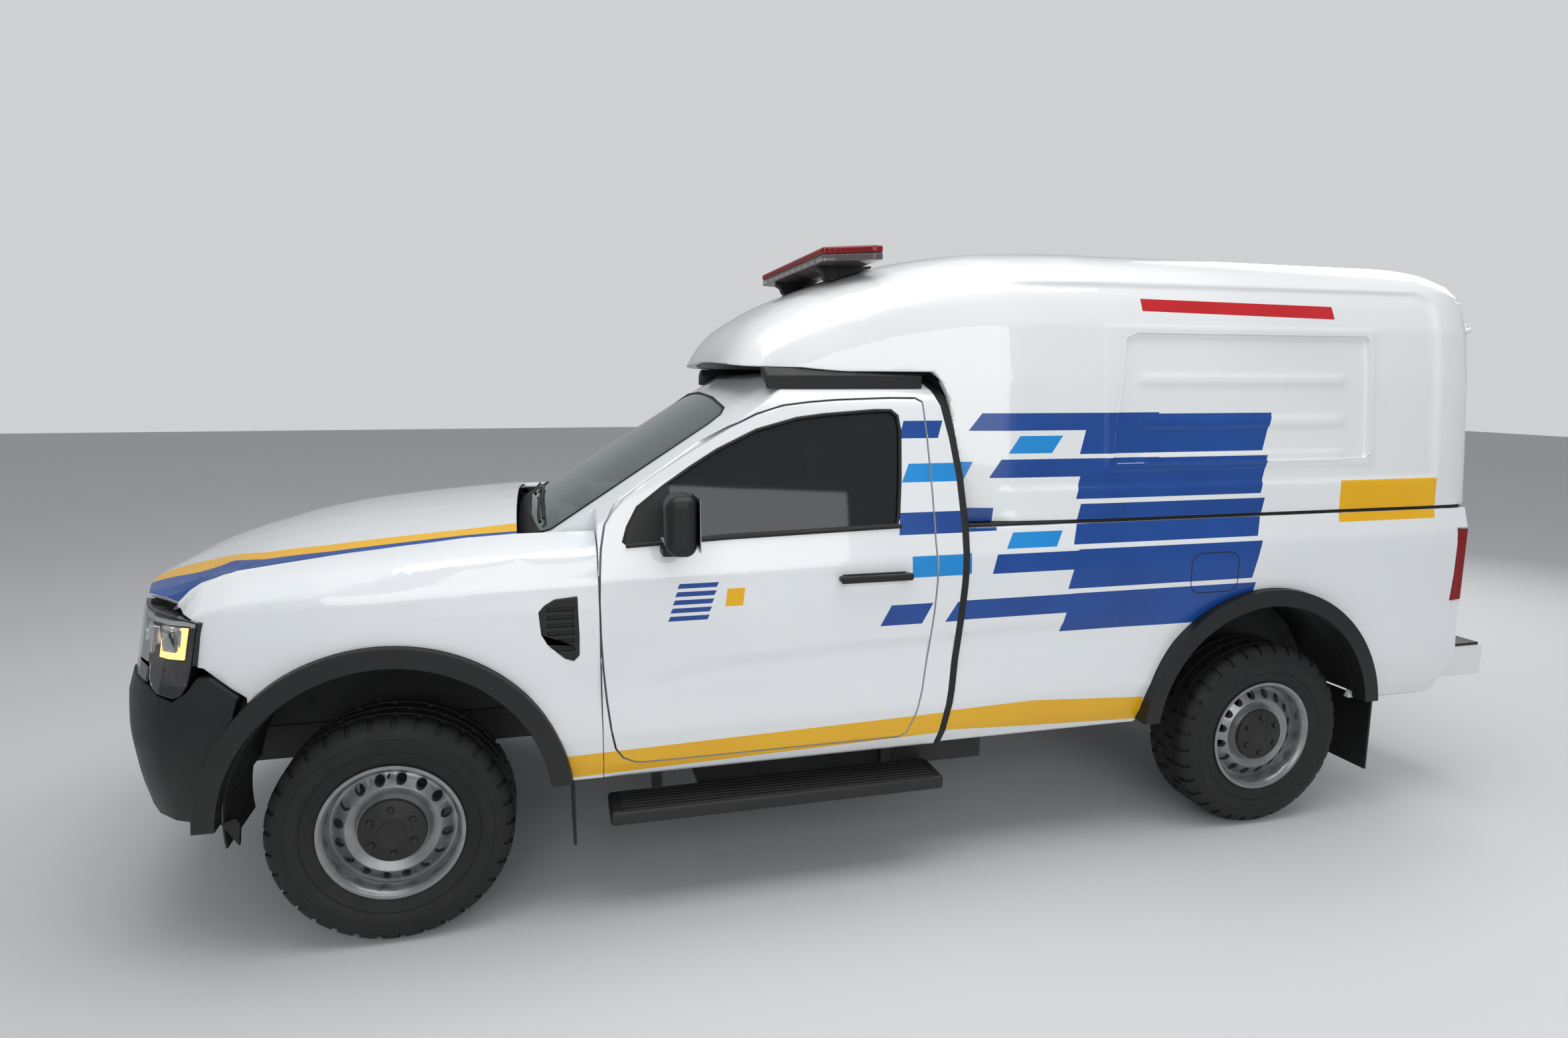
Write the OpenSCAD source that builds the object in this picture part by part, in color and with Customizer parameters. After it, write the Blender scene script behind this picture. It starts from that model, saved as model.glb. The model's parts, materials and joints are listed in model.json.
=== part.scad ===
// Pickup-based ambulance with a moulded load-space capsule behind a single cab.
// Millimetres. X points forward, Y to the vehicle's left, Z up.
// The origin is on the floor under the middle of the vehicle's box.
// The pieces are drawn with X counted from the front axle and moved by place().

/* [Size] */
// distance between the front and rear axles
wheelbase = 3270; // [2900:10:3500]
// distance between the tyre centres across the vehicle
track = 1620; // [1500:5:1700]
// front axle ahead of the middle of the vehicle
front_axle_x = 1765; // [1600:5:1900]
// height of the roof of the load-space capsule
capsule_top = 2310; // [2200:5:2400]

/* [Wheels] */
// outside diameter of a tyre standing under load
tyre_diameter = 748; // [700:2:780]
// width of a tyre
tyre_width = 255; // [205:5:285]
// outside diameter of the rim flange
rim_diameter = 446; // [430:2:460]
// round holes through the wheel disc
rim_holes = 16; // [8:1:20]

/* [Body] */
// gap round the doors and the bonnet
shut_gap = 6; // [5:0.5:8]
// thickness of a cab door below its window
door_thickness = 50; // [40:1:60]
// outer radius of the wheel arch flare
flare_radius = 554; // [540:1:570]
// width of the wheel arch flare seen from the side
flare_width = 66; // [50:1:80]
// rake of the windscreen above the horizontal
screen_rake = 31.5; // [28:0.5:36]
// height of the rail between the load bed and the capsule
rail_height = 1272; // [1250:1:1290]

/* [Hidden] */
$fn = 72;
axle_z = tyre_diameter / 2;
wheel_y = track / 2;
rear_x = -wheelbase;
kingpin_y = 700;
flare_inner = flare_radius - flare_width;
capsule_base = rail_height + 12;
exhaust_z = 350;
tail_lamp_z = rail_height - 388;
// height on the capsule, drawn for a base at 1284 and a roof at 2310
function cap_at(z) = capsule_base + (z - 1284) * (capsule_top - capsule_base) / 1026;

white = "#eceeee";
black = "#1c1d1f";
dark = "#2c2e31";
steel = "#a9adb0";
glass = "#27313a";
red = "#b3161b";

// half width of the body side against height
side_table = [[480, 905], [535, 930], [640, 945], [800, 934], [900, 938], [1000, 944], [1130, 945],
  [1200, 934], [1280, 912], [1500, 842], [1700, 778], [1740, 755], [1775, 715], [1800, 655]];
side_z = [480, 535, 640, 800, 900, 1000, 1130, 1200, 1280, 1500, 1700, 1740, 1775, 1800];
function side_y(z) = lookup(z, side_table);
function flip(p) = [for (i = [len(p) - 1:-1:0]) [-p[i][0], p[i][1]]];
function roof_in(z, t) = z <= 1700 ? z : z - t * (z - 1700) / 100;
function cab_half(t) = concat([for (z = side_z) [side_y(z) - t, roof_in(z, t)]],
  [[500, 1812 - t], [250, 1821 - t], [0, 1825 - t]]);
function cab_ring(t) = concat(cab_half(t), flip([for (q = cab_half(t)) if (q[0] > 0) q]));

// outlines in side view
door_line = [[-690, 1330], [-716, 1368], [-753, 1408], [-843, 1473], [-979, 1553], [-1119, 1630],
  [-1214, 1673], [-1309, 1701], [-1406, 1712], [-1504, 1719], [-1702, 1725], [-1800, 1724],
  [-1822, 1712], [-1826, 1600], [-1826, 1404], [-1822, 1230], [-1825, 1100], [-1816, 980],
  [-1806, 890], [-1794, 800], [-1778, 700], [-1754, 607], [-1726, 545], [-1700, 531], [-795, 531],
  [-765, 536], [-727, 556], [-705, 590], [-692, 660], [-681, 752], [-672, 865], [-667, 975],
  [-666, 1084], [-669, 1171], [-676, 1256]];
opening_line = [[-735, 1330], [-790, 1405], [-868, 1465], [-1000, 1535], [-1130, 1598], [-1225, 1640],
  [-1320, 1668], [-1500, 1685], [-1700, 1690], [-1775, 1688], [-1792, 1668], [-1792, 1404], [-1788, 1230],
  [-1790, 1100], [-1782, 985], [-1772, 890], [-1760, 805], [-1744, 710], [-1718, 615], [-1695, 577],
  [-1660, 565], [-820, 565], [-770, 574], [-740, 602], [-722, 670], [-713, 755], [-706, 865], [-701, 975],
  [-700, 1084], [-704, 1171], [-712, 1256]];
window_line = [[-745, 1275], [-760, 1319], [-795, 1380], [-884, 1445], [-976, 1504], [-1069, 1558],
  [-1115, 1579], [-1210, 1622], [-1353, 1659], [-1450, 1671], [-1640, 1684], [-1700, 1684],
  [-1723, 1665], [-1728, 1610], [-1712, 1450], [-1693, 1318], [-1684, 1294], [-1094, 1281],
  [-760, 1264]];
cab_rear = [[-1845, 480], [-1881, 690], [-1903, 885], [-1920, 1080], [-1928, 1272], [-1926, 1450],
  [-1912, 1590]];
function rear_line(t) = concat([for (q = cab_rear) q + [t, 0]],
  [[-1892 + t, 1700 - t], [-1868 + t, 1755 - t], [-1840 + t, 1790 - t]]);
function turned(p) = [for (i = [len(p) - 1:-1:0]) p[i]];

// outline moved out by d along its corner normals
function cw(p) = [for (i = [0:len(p) - 1]) let (a = p[i], b = p[(i + 1) % len(p)]) a[0] * b[1] - b[0] * a[1]];
function total(v, i = 0) = i >= len(v) ? 0 : v[i] + total(v, i + 1);
function unit(v) = v / norm(v);
function grow(p, d) = let (n = len(p), s = total(cw(p)) > 0 ? 1 : -1)
  [for (i = [0:n - 1]) let (a = unit(p[i] - p[(i + n - 1) % n]), b = unit(p[(i + 1) % n] - p[i]),
    na = s * [a[1], -a[0]], nb = s * [b[1], -b[0]], m = na + nb) p[i] + m * (2 * d / (m * m))];

module place() translate([front_axle_x, 0, 0]) children();
module across(y0, y1) translate([0, y1, 0]) rotate([90, 0, 0]) linear_extrude(y1 - y0) children();
module along(x0, x1) translate([x0, 0, 0]) rotate([90, 0, 90]) linear_extrude(x1 - x0) children();
module rod(y0, y1, r) translate([0, y0, 0]) rotate([-90, 0, 0]) cylinder(r = r, h = y1 - y0);
module box(a, b) translate(a) cube(b - a);
module both() { children(); mirror([0, 1, 0]) children(); }

// closed skin between two grids of points
module skin(a, b) {
  n = len(a);
  m = len(a[0]);
  k = n * m;
  polyhedron(points = concat([for (r = a) each r], [for (r = b) each r]), convexity = 6,
    faces = concat(
      [for (i = [0:n - 2], j = [0:m - 2]) each [[i * m + j, (i + 1) * m + j + 1, i * m + j + 1],
        [i * m + j, (i + 1) * m + j, (i + 1) * m + j + 1]]],
      [for (i = [0:n - 2], j = [0:m - 2]) each [[k + i * m + j, k + i * m + j + 1, k + (i + 1) * m + j + 1],
        [k + i * m + j, k + (i + 1) * m + j + 1, k + (i + 1) * m + j]]],
      [for (i = [0:n - 2]) each [[i * m, k + (i + 1) * m, (i + 1) * m], [i * m, k + i * m, k + (i + 1) * m]]],
      [for (i = [0:n - 2]) let (p = i * m + m - 1, q = p + m) each [[p, q, k + q], [p, k + q, k + p]]],
      [for (j = [0:m - 2]) each [[j, j + 1, k + j + 1], [j, k + j + 1, k + j]]],
      [for (j = [0:m - 2]) let (p = (n - 1) * m + j) each [[p, k + p + 1, p + 1], [p, k + p, k + p + 1]]]));
}

// windscreen frame: local X out of the glass, local Z up the slope
screen_r = 4320;
module screen_frame() translate([-766, 0, 1502]) rotate([0, screen_rake - 90, 0]) children();
module screen_drum(t) screen_frame() translate([-screen_r, 0, 0])
  cylinder(r = screen_r - t, h = 4400, center = true, $fn = 360);
screen_line = [[0, -385], [300, -382], [560, -370], [660, -352], [690, -318], [632, 330], [612, 388],
  [560, 420], [300, 440], [0, 446]];
screen_full = concat(screen_line, flip([for (q = screen_line) if (q[0] > 0) q]));

// cab outline in side view, moved in by t
function cab_side(t) = concat([[-560 - t, 480], [-560 - t, 1170], [-408 - t, 1230], [-408 - t, 1900 - t],
  [-1000, 1900 - t], [-1120, 1760 - t], [-1200, 1784 - t], [-1320, 1806 - t], [-1500, 1822 - t],
  [-1650, 1826 - t], [-1800 + t, 1822 - t]], turned(rear_line(t)));
module cab_block(t) intersection() {
  along(-2000, -300) polygon(cab_ring(t));
  across(-1000, 1000) polygon(cab_side(t));
  screen_drum(t);
}

// shape of the nose: X of the front face on the centre line against height
nose_table = [[380, 850], [460, 884], [550, 905], [700, 920], [800, 915], [880, 890], [950, 870],
  [1050, 850], [1150, 826]];
plan_table = [[0, 0], [1, 12], [2, 46], [3, 104], [4, 146], [5, 196], [6, 262], [7, 352], [8, 500]];
plan_y = [[0, 0], [1, 200], [2, 400], [3, 600], [4, 705], [5, 790], [6, 858], [7, 905], [8, 932]];
function nose(u, z, t) = let (s = sign(u), a = abs(u), x = lookup(z, nose_table) - lookup(a, plan_table),
  n = a < 5 ? [1, 0.3] : (a < 7 ? [0.6, 0.8] : [0.2, 1]))
  [x - t * n[0], s * (lookup(a, plan_y) * (side_y(max(z, 535)) / 945) - t * n[1] * min(1, a / 3)), z];
module nose_skin(us, zs, t0, t1) skin([for (z = zs) [for (u = us) nose(u, z, t0)]],
  [for (z = zs) [for (u = us) nose(u, z, t1)]]);

// bonnet: height on the centre line and on its side edge against X
mid_table = [[-420, 1352], [-192, 1340], [58, 1321], [300, 1291], [536, 1238], [700, 1184], [790, 1140],
  [835, 1112]];
edge_table = [[-430, 1291], [-249, 1282], [-46, 1262], [150, 1243], [340, 1219], [408, 1210], [476, 1196],
  [523, 1174], [552, 1154], [570, 1138], [588, 1117]];
function bonnet_front(y) = 832 - 305 * pow(y / 1000, 2) - 72 * max(0, (abs(y) - 600) / 150);
function bonnet_z(x, y) = let (k = pow(min(1, abs(y) / 750), 2.2), f = bonnet_front(y),
  g = x + (835 - f) * max(0, (x - 100) / 735))
  lookup(g, mid_table) * (1 - k) + lookup(x, edge_table) * k;
function bonnet_pt(s, y, t) = let (r = -400 - 12 * pow(y / 750, 2), x = r + (bonnet_front(y) - r) * s)
  [x - (s > 0.9 ? t * 0.5 : 0), y, bonnet_z(x, y) - t];

tow_bolt_x = [-4060, -4000];
tow_bolt_r = 6.5;
module ladder_frame() color(dark) place() {
  both() difference() {
    across(380, 450) polygon([[700, 470], [-2250, 470], [-2680, 610], [-3700, 610], [-4150, 560],
      [-4150, 680], [-3700, 730], [-2640, 730], [-2190, 590], [700, 590]]);
    // tow bar bolts
    for (x = tow_bolt_x) translate([x, 0, 635]) rod(370, 460, tow_bolt_r);
  }
  box([600, -381, 500], [680, 381, 580]);
  box([-2090, -381, 535], [-2010, 381, 585]);
  for (x = [-2900, -3600, -4110]) box([x - 35, -381, 620], [x + 35, 381, 690]);
  // saddle under the gearbox
  box([-975, -450, 385], [-905, 450, 419.7]);
  both() box([-975, 380, 390], [-905, 450, 471]);
  // cab and bed mounts
  both() for (x = [-700, -1250, -1780]) translate([x, 415, 589]) cylinder(r = 34, h = 22.7);
  both() translate([-2700, 415, 700]) cylinder(r = 30, h = 79.7);
  both() translate([-4050, 415, 665]) cylinder(r = 30, h = 114.7);
  // arms that carry the steps and the fuel tank
  both() for (x = [-850, -1700]) {
    box([x - 18, 449, 484], [x + 18, 800, 496]);
    box([x - 18, 785, 377], [x + 18, 800, 496]);
  }
  // bumper brackets
  both() box([-4399.7, 385, 566], [-4140, 445, 634]);
  both() box([640, 425, 566], [789.7, 445, 589]);
  // exhaust hangers
  for (x = [-700, -1500]) box([x - 15, -381, exhaust_z + 28.3], [x + 15, -290, 500]);
  // hanger of the spare wheel
  translate([-3820, 0, 572.3]) cylinder(r = 40, h = 88);
  box([-4110, -30, 652], [-3600, 30, 682]);
}

module cab_shell() color(white) place() {
  cab_body();
  // door hinges, cranked round the edge of the door
  both() for (h = hinge_z) translate([0, 0, h - 10]) difference() {
    union() {
      linear_extrude(20) polygon([for (q = [[-6, 0], [6, -1], [14, -18], [29, -50], [29, -75], [13, -75], [13, -50],
        [-6, -12]]) q + door_pin]);
      translate(door_pin) cylinder(r = 6, h = 20);
    }
    translate(concat(door_pin, -1)) cylinder(r = 3.55, h = 22);
  }
}
hinge_z = [640, 1090];
door_pin = [-712, 935];
module cab_body() difference() {
  cab_block(0);
  difference() {
    cab_block(88);
    box([-2000, -900, 400], [-300, 900, 640]);
  }
  // recess and opening of the doors
  both() intersection() {
    across(600, 1000) polygon(grow(door_line, shut_gap));
    along(-2000, -500) polygon(concat([for (z = side_z) [side_y(z) - door_thickness - 24, z]], [[1000, 1800], [1000, 480]]));
  }
  both() across(500, 1000) polygon(opening_line);
  // the wings stand outside the front pillar
  both() box([-663, 745, 400], [-300, 1100, 1900]);
  // windscreen opening
  screen_frame() along(-260, 80) polygon(grow(screen_full, 0.4));
  // room for the engine tunnel and the rear window
  box([-1990, -450, 1250], [-1700, 450, 1560]);
  box([-2000, -800, 470], [-480, 800, 612]);
}

module windscreen() color(glass) place() intersection() {
  difference() {
    screen_drum(2);
    screen_drum(7.5);
  }
  screen_frame() along(-300, 60) polygon(screen_full);
}

module cowl_panel() color(black) place() {
  both() difference() {
    union() {
      box([-404, 637, 1240], [-390, 653, 1285]);
      box([-440, 637, 1240], [-390, 653, 1258]);
      translate([-400, 0, 1285]) rod(637, 653, 5.5);
    }
    translate([-400, 0, 1285]) rod(630, 670, 4.05);
    cab_block(-1.6);
  }
  difference() {
    box([-556, -740, 1216], [-406, 740, 1247]);
    cab_block(-1.6);
    box([-700, -1000, 1100], [-559, 1000, 1300]);
  }
  difference() {
    intersection() {
      difference() {
        screen_drum(-9);
        screen_drum(-1);
      }
      screen_frame() along(-200, 60) polygon([[-646, -430], [646, -430], [646, -360], [560, -374], [300, -386], [0, -389],
        [-300, -386], [-560, -374], [-646, -360]]);
    }
    box([-405, -1000, 1000], [-300, 1000, 1500]);
    both() box([-421, 612, 1000], [-300, 700, 1500]);
    box([-700, -1000, 1000], [-300, 1000, 1249]);
  }
}

function wing_pt(x, v, t) = let (e = lookup(x, edge_table), w = lookup(x, [[0, 1], [200, 0.992], [400, 0.962], [520, 0.93], [620, 0.88]]),
  ys = [757 / w, 757 / w, 800, 852, 900, 930, 944, 943, 938, 934, 945, 930, 905],
  zs = [e - 34, e, e - 8, e - 26, e - 56, min(1150, e - 82), min(1060, e - 100), min(1000, e - 130), 900, 800, 640, 535, 480],
  n = v == 0 ? [-1, 0] : (v == 1 ? [-1, 1] : (v < 4 ? [0.1, 1] : (v == 4 ? [0.6, 0.8] : [1, 0.1]))))
  [x, max(ys[v] * w, 757 + max(0, v - 1) * 4) - n[0] * t, zs[v] - n[1] * t];
module wing_raw() {
  xs = [-661, -560, -420, -250, -50, 150, 300, 420, 518, 552, 586];
  skin([for (v = [0:12]) [for (x = xs) wing_pt(x, v, 0)]], [for (v = [0:12]) [for (x = xs) wing_pt(x, v, 4)]]);
}
module arch(x, r) translate([x, 0, 434]) rod(300, 1100, r);
module wing_body() difference() {
  wing_raw();
  arch(-10, flare_radius + 0.3);
  // bumper seam below the headlamp
  across(300, 1100) polygon([[380, 300], [380, 846], [416, 872], [457, 906], [494, 939], [600, 960], [600, 300]]);
  // headlamp
  across(300, 1100) polygon([[518, 900], [518, 1088], [590, 1104], [700, 1104], [700, 900]]);
  // vent behind the arch
  across(900, 1100) polygon(vent_line);
}
vent_line = [[-473, 1066], [-492, 1086], [-523, 1103], [-594, 1109], [-597, 983], [-595, 917], [-577, 899],
  [-550, 909], [-505, 950], [-479, 991]];
module wing_left() color(white) place() wing_body();
module wing_right() color(white) place() mirror([0, 1, 0]) wing_body();

module wing_vents() color(black) place() both() difference() {
  across(906, 943) polygon(grow(vent_line, -0.3));
  for (z = [935:26:1090]) across(934, 1000) polygon([[-580, z], [-500, z], [-500, z + 12], [-580, z + 12]]);
}

module front_bumper() color(black) place() {
  bumper_skin();
  both() box([790, 426, 564], [842, 470, 632]);
}
bumper_base = 455;
module bumper_skin() difference() {
  nose_skin([-8, -7, -6, -5, -4, -3, -2, -1, 0, 1, 2, 3, 4, 5, 6, 7, 8], [bumper_base, 550, 700, 800, 880, 915], 0, 40);
  both() arch(-10, flare_radius + 0.3);
  // grille opening
  box([700, -560, 640], [1000, 560, 960]);
  // lower air intake
  box([700, -420, bumper_base + 37], [1000, 420, 560]);
  both() across(500, 1100) polygon([[700, 880], [664, 876], [636, 856], [588, 840], [542, 872], [514, 908],
    [494, 935], [457, 902], [416, 868], [384, 842], [384, 600], [300, 600],
    [300, 1000], [1000, 1000], [1000, 876]]);
}

module grille() color(black) place() {
  grille_mesh();
  both() box([600.3, 380, 692], [838, 400, 708]);
  both() box([600.3, 380, 962], [780, 400, 978]);
}
module grille_mesh() difference() {
  nose_skin([-2.75, -2, -1, 0, 1, 2, 2.75], [645, 700, 800, 880, 955, 1050, 1088], 22, 60);
  for (z = [670:42:1000]) box([700, -500, z], [1000, 500, z + 22]);
}

module headlamps() color("#d9dfe3") place() both() difference() {
  nose_skin([2.85, 3.4, 4, 5, 6, 6.95], [845, 881, 922, 955, 1000, 1050, 1098], 2, 90);
  box([300, 560, 800], [518.6, 1000, 1200]);
  box([500, 560, 800], [668, 700, 1200]);
  box([500, 690, 800], [612, 760, 1200]);
  across(500, 1100) polygon([[1000, 885], [700, 885], [662, 881], [634, 861], [588, 845], [545, 877], [519, 912], [500, 940],
    [500, 800], [1000, 800]]);
  across(500, 1100) polygon([[500, 1080], [590, 1098], [590, 1200], [500, 1200]]);
}

module arch_flares() color(black) place() both() {
  for (x = [-10, rear_x + 30]) difference() {
    translate([x, 0, 434]) rod(896, 966, flare_radius);
    translate([x, 0, 434]) rod(800, 1000, flare_inner);
    box([x - 700, 800, -200], [x + 700, 1100, 490]);
  }
}

module liner(x, y0, y1) difference() {
  translate([x, 0, 434]) rod(y0, y1, flare_inner - 0.3);
  translate([x, 0, 434]) rod(y0 - 10, y1 + 10, flare_inner - 6);
  box([x - 700, y0 - 20, -200], [x + 700, y1 + 20, 520]);
}
module wheel_liners() color(black) place() both() {
  liner(-10, 520, 905);
  liner(rear_x + 30, 640, 905);
}

module engine_block() color(steel) place() {
  box([-330, -260, 470], [430, 260, 1060]);
  both() box([-60, 250, 500], [20, 379.7, 540]);
}
module radiator_panel() color(dark) place() {
  box([560, -520, 590.3], [600, 520, 1060]);
  both() box([570, 500, 820], [600, 735, 1060]);
  both() box([599, 600, 930], [667.7, 650, 1060]);
  // inner aprons up to the wing flanges
  both() across(745.3, 756.7) polygon(concat([[-559.7, 1000], [520, 960], [552, 960], [552, 1112]],
    [for (x = [518, 452, 340, 150, -46, -249, -420, -559.7]) [x, lookup(x, edge_table) - 21]]));
  both() box([540, 730, 962], [600, 750, 1060]);
}
module gearbox() color(steel) place() {
  box([-980, -150, 420], [-330.3, 150, 604]);
  translate([-978, 0, 480]) rotate([0, -92.18, 0]) cylinder(r = 38, h = 2105);
}

module front_suspension() color(dark) place() {
  both() {
    arm_plate(-150, 150, 330, 720, 316, axle_z - 31.3);
    arm_plate(-90, 90, 450.3, 722, 530.3, 552);
    translate([0, 520, 342]) rotate([-10, 0, 0]) cylinder(r = 45, h = 200);
    box([-100, 385, 379], [100, 445, 469.7]);
  }
  box([-180, -446, 300], [180, 446, 380]);
}
module arm_plate(xa, xb, y0, y1, z0, z1) translate([0, 0, z0]) linear_extrude(z1 - z0)
  polygon([[xa, y0], [xb, y0], [30, y1 - 60], [30, y1], [-30, y1], [-30, y1 - 60]]);

module rear_axle() color(dark) place() translate([rear_x, 0, axle_z]) {
  rod(-690, 690, 42);
  translate([10, 60, 0]) sphere(r = 150);
  translate([10, 0, 26]) rotate([0, 90, 0]) cylinder(r = 46, h = 176);
  both() rod(662, 765, 140);
  both() rod(760, 890, 30.95);
}

module leaf_springs() color(dark) place() both() {
  box([rear_x - 60, 470, axle_z + 42.3], [rear_x + 60, 540, axle_z + 62]);
  across(475, 535) polygon([[rear_x - 700, 640], [rear_x - 350, 520], [rear_x - 100, axle_z + 61], [rear_x + 100, axle_z + 61],
    [rear_x + 350, 510], [rear_x + 620, 612], [rear_x + 620, 642], [rear_x + 350, 546], [rear_x + 100, axle_z + 100],
    [rear_x - 100, axle_z + 100], [rear_x - 350, 556], [rear_x - 700, 670]]);
  translate([rear_x - 690, 0, 655]) rod(450.3, 560, 16);
  translate([rear_x + 610, 0, 627]) rod(450.3, 560, 16);
}

module exhaust() color(steel) place() {
  translate([-500, -300, exhaust_z]) rotate([0, -90, 0]) cylinder(r = 28, h = 1200);
  translate([-1690, -300, exhaust_z]) rotate([0, -90, 0]) cylinder(r = 80, h = 560);
}
module fuel_tank() color(black) place() box([-2100, 470, 350], [-1000, 770, 483.7]);
module spare_wheel() color(black) place() translate([-3820, 0, 482]) rotate([-90, 0, 0]) {
  tyre_body();
  rotate([-90, 0, 0]) rotate_extrude() polygon([[0, -90], [204.6, -90], [204.6, 98], [190, 98], [180, -60], [0, -60]]);
}

bed_front = rear_line(-30);
bed_z = concat([for (z = [480, 535, 640, 800, 900, 1000, 1130, 1200]) if (z < rail_height - 20) z], [rail_height]);
module load_bed() color(white) place() {
  difference() {
    both() {
      along(-4205, -1874) polygon(concat([for (z = bed_z) [side_y(z) - 12, z]], [for (z = turned(bed_z)) [side_y(z) - 50, z]]));
      // wheel tub
      difference() {
        translate([rear_x + 30, 0, 434]) rod(600, 930, flare_inner + 12);
        translate([rear_x + 30, 0, 434]) rod(590, 1000, flare_inner);
        box([rear_x - 700, 500, -300], [rear_x + 700, 1000, 781]);
      }
    }
    both() arch(rear_x + 30, flare_inner + 0.01);
    both() intersection() {
      arch(rear_x + 30, flare_radius + 0.3);
      box([-4200, 880, 0], [-2000, 1100, 1200]);
    }
    across(-1100, 1100) polygon(concat(bed_front, [[-1700, 1820], [-1700, 480]]));
    // corner of the lamps
    both() box([-4300, 862, tail_lamp_z], [-4150, 1000, tail_lamp_z + 308]);
    across(-1100, 1100) polygon([[-4120, 400], [-4120, 478], [-4150, 560], [-4210, 620], [-4300, 620], [-4300, 400]]);
  }
  // floor with the wheel openings, front wall and rear posts
  difference() {
    box([-4190, -892, 780], [-1965, 892, 810]);
    both() translate([rear_x + 30, 0, 434]) rod(600, 1000, flare_inner + 1);
  }
  box([-1995, -894, 810], [-1965, 894, rail_height]);
  both() box([-4205, 762, 690], [-4140, 862, rail_height]);
}

// capsule: section at full size, width factor and roof height along its length
cap_table = [[1284, 902], [1500, 886], [1800, 862], [2000, 836], [2100, 806], [2165, 768], [2215, 714],
  [2255, 630], [2285, 500], [2302, 280], [2310, 0]];
cap_z = [1284, 1500, 1800, 2000, 2100, 2165, 2215, 2255, 2285, 2302, 2310];
cap_x = [-1150, -1165, -1200, -1260, -1390, -1500, -1660, -1780, -1950, -2150, -2500, -4050, -4150, -4215, -4250];
cap_h = [[1150, 1850], [1165, 1900], [1200, 1955], [1260, 2015], [1390, 2095], [1500, 2140], [1660, 2202], [1780, 2238],
  [1950, 2274], [2150, 2300], [2500, 2310], [4050, 2300], [4150, 2292], [4215, 2272], [4250, 2240]];
cap_w = [[1150, 0.66], [1165, 0.72], [1200, 0.765], [1260, 0.795], [1390, 0.825], [1500, 0.84], [1660, 0.853],
  [1780, 0.866], [1950, 0.915], [2150, 0.975], [2500, 1], [4050, 1], [4150, 0.995], [4215, 0.975], [4250, 0.945]];
function cap_ring(x, t, xt) = let (h = cap_at(lookup(-x, cap_h)) - t, w = lookup(-x, cap_w),
  half = [for (z = cap_z) [xt, cap_y(z) * w - (z == 2310 ? 0 : t), capsule_base + (z - 1284) * (h - capsule_base) / 1026]])
  concat(half, [for (i = [len(half) - 2:-1:0]) [half[i][0], -half[i][1], half[i][2]]]);
function cap_y(z) = lookup(z, cap_table);
module capsule_block(t) {
  rings = [for (i = [0:len(cap_x) - 1]) cap_ring(cap_x[i], t, cap_x[i] + (cap_x[i] < -3000 ? t : -t))];
  n = len(rings);
  m = len(rings[0]);
  polyhedron(points = [for (r = rings) each r], convexity = 6, faces = concat(
    [for (i = [0:n - 2], j = [0:m - 1]) let (a = i * m + j, b = i * m + (j + 1) % m, c = a + m, d = b + m)
      each [[a, d, c], [a, b, d]]],
    [[for (j = [m - 1:-1:0]) j], [for (j = [0:m - 1]) (n - 1) * m + j]]));
}
recess_line = [for (q = [[-2545, 1500], [-2560, 1485], [-3690, 1485], [-3704, 1500], [-3704, 1950], [-3690, 1966],
  [-2640, 1966], [-2600, 1950]]) [q[0], cap_at(q[1])]];
module capsule_shell() color(white) place() {
  capsule_body();
  both() rear_hinge();
}
module capsule_body() difference() {
  capsule_block(0);
  capsule_block(28);
  // stands clear of the cab by the width of the seal
  along(-1900, -1000) polygon(cab_ring(-34));
  across(-1100, 1100) polygon(concat(bed_front, [[-1000, 1820], [-1000, 480]]));
  // side window shaped recesses
  difference() {
    both() across(700, 1000) polygon(recess_line);
    capsule_block(13);
  }
  // rear door opening
  box([-4300, -760, capsule_base - 14], [-4200, 760, cap_at(2120)]);
}

module gap_seal() color(black) place() {
  // hoop round the back of the cab
  difference() {
    intersection() {
      along(-1990, -1800) polygon(cab_ring(4));
      across(-1100, 1100) polygon(concat(rear_line(-0.5), turned(rear_line(-29.5))));
    }
    along(-2000, -1790) polygon(cab_ring(60));
  }
  // bead between the load bed and the capsule
  both() box([-4190, 860, rail_height + 0.5], [-1962, 892, capsule_base - 0.5]);
  // bead along the roof
  both() intersection() {
    difference() {
      along(-1838, -1260) polygon(cab_ring(-33));
      along(-1900, -1200) polygon(cab_ring(-0.5));
    }
    box([-1838, 640, 1700], [-1260, 735, 1900]);
  }
}

module tail_lamps() color(red) place() both() difference() {
  box([-4245, 862.3, tail_lamp_z + 4], [-4150.3, 930, tail_lamp_z + 304]);
  translate([-4330, 1000, tail_lamp_z - 4]) rotate([0, 0, 38]) box([-60, -160, 0], [60, 200, 320]);
}

module rear_bumper() color(white) place() {
  difference() {
    box([-4450, -860, 520], [-4215, 860, 660]);
    box([-4400, -780, 560], [-4200, 780, 640]);
  }
}

module mud_flaps() color(black) place() both() {
  box([rear_x + 24 - flare_radius, 690, 180], [rear_x + 34 - flare_radius, 930, 479.7]);
  box([-14 - flare_radius, 690, 250], [-4 - flare_radius, 903, 478]);
}

module side_steps() color(black) place() both() box([-1866, 790, 326], [-679, 960, 376.7]);

module light_bar() color(red) place() translate([0, 0, cap_at(2226)]) linear_extrude(52)
  polygon([[-1530, -488], [-1700, -590], [-1735, -590], [-1735, 590], [-1700, 590], [-1530, 488]]);
module light_bar_brackets() color(black) place() both() {
  across(300, 360) polygon([for (q = [[-1560, 2225.6], [-1560, 2152.5], [-1660, 2191], [-1700, 2203], [-1700, 2225.6]])
    [q[0], cap_at(q[1])]]);
}

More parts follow.
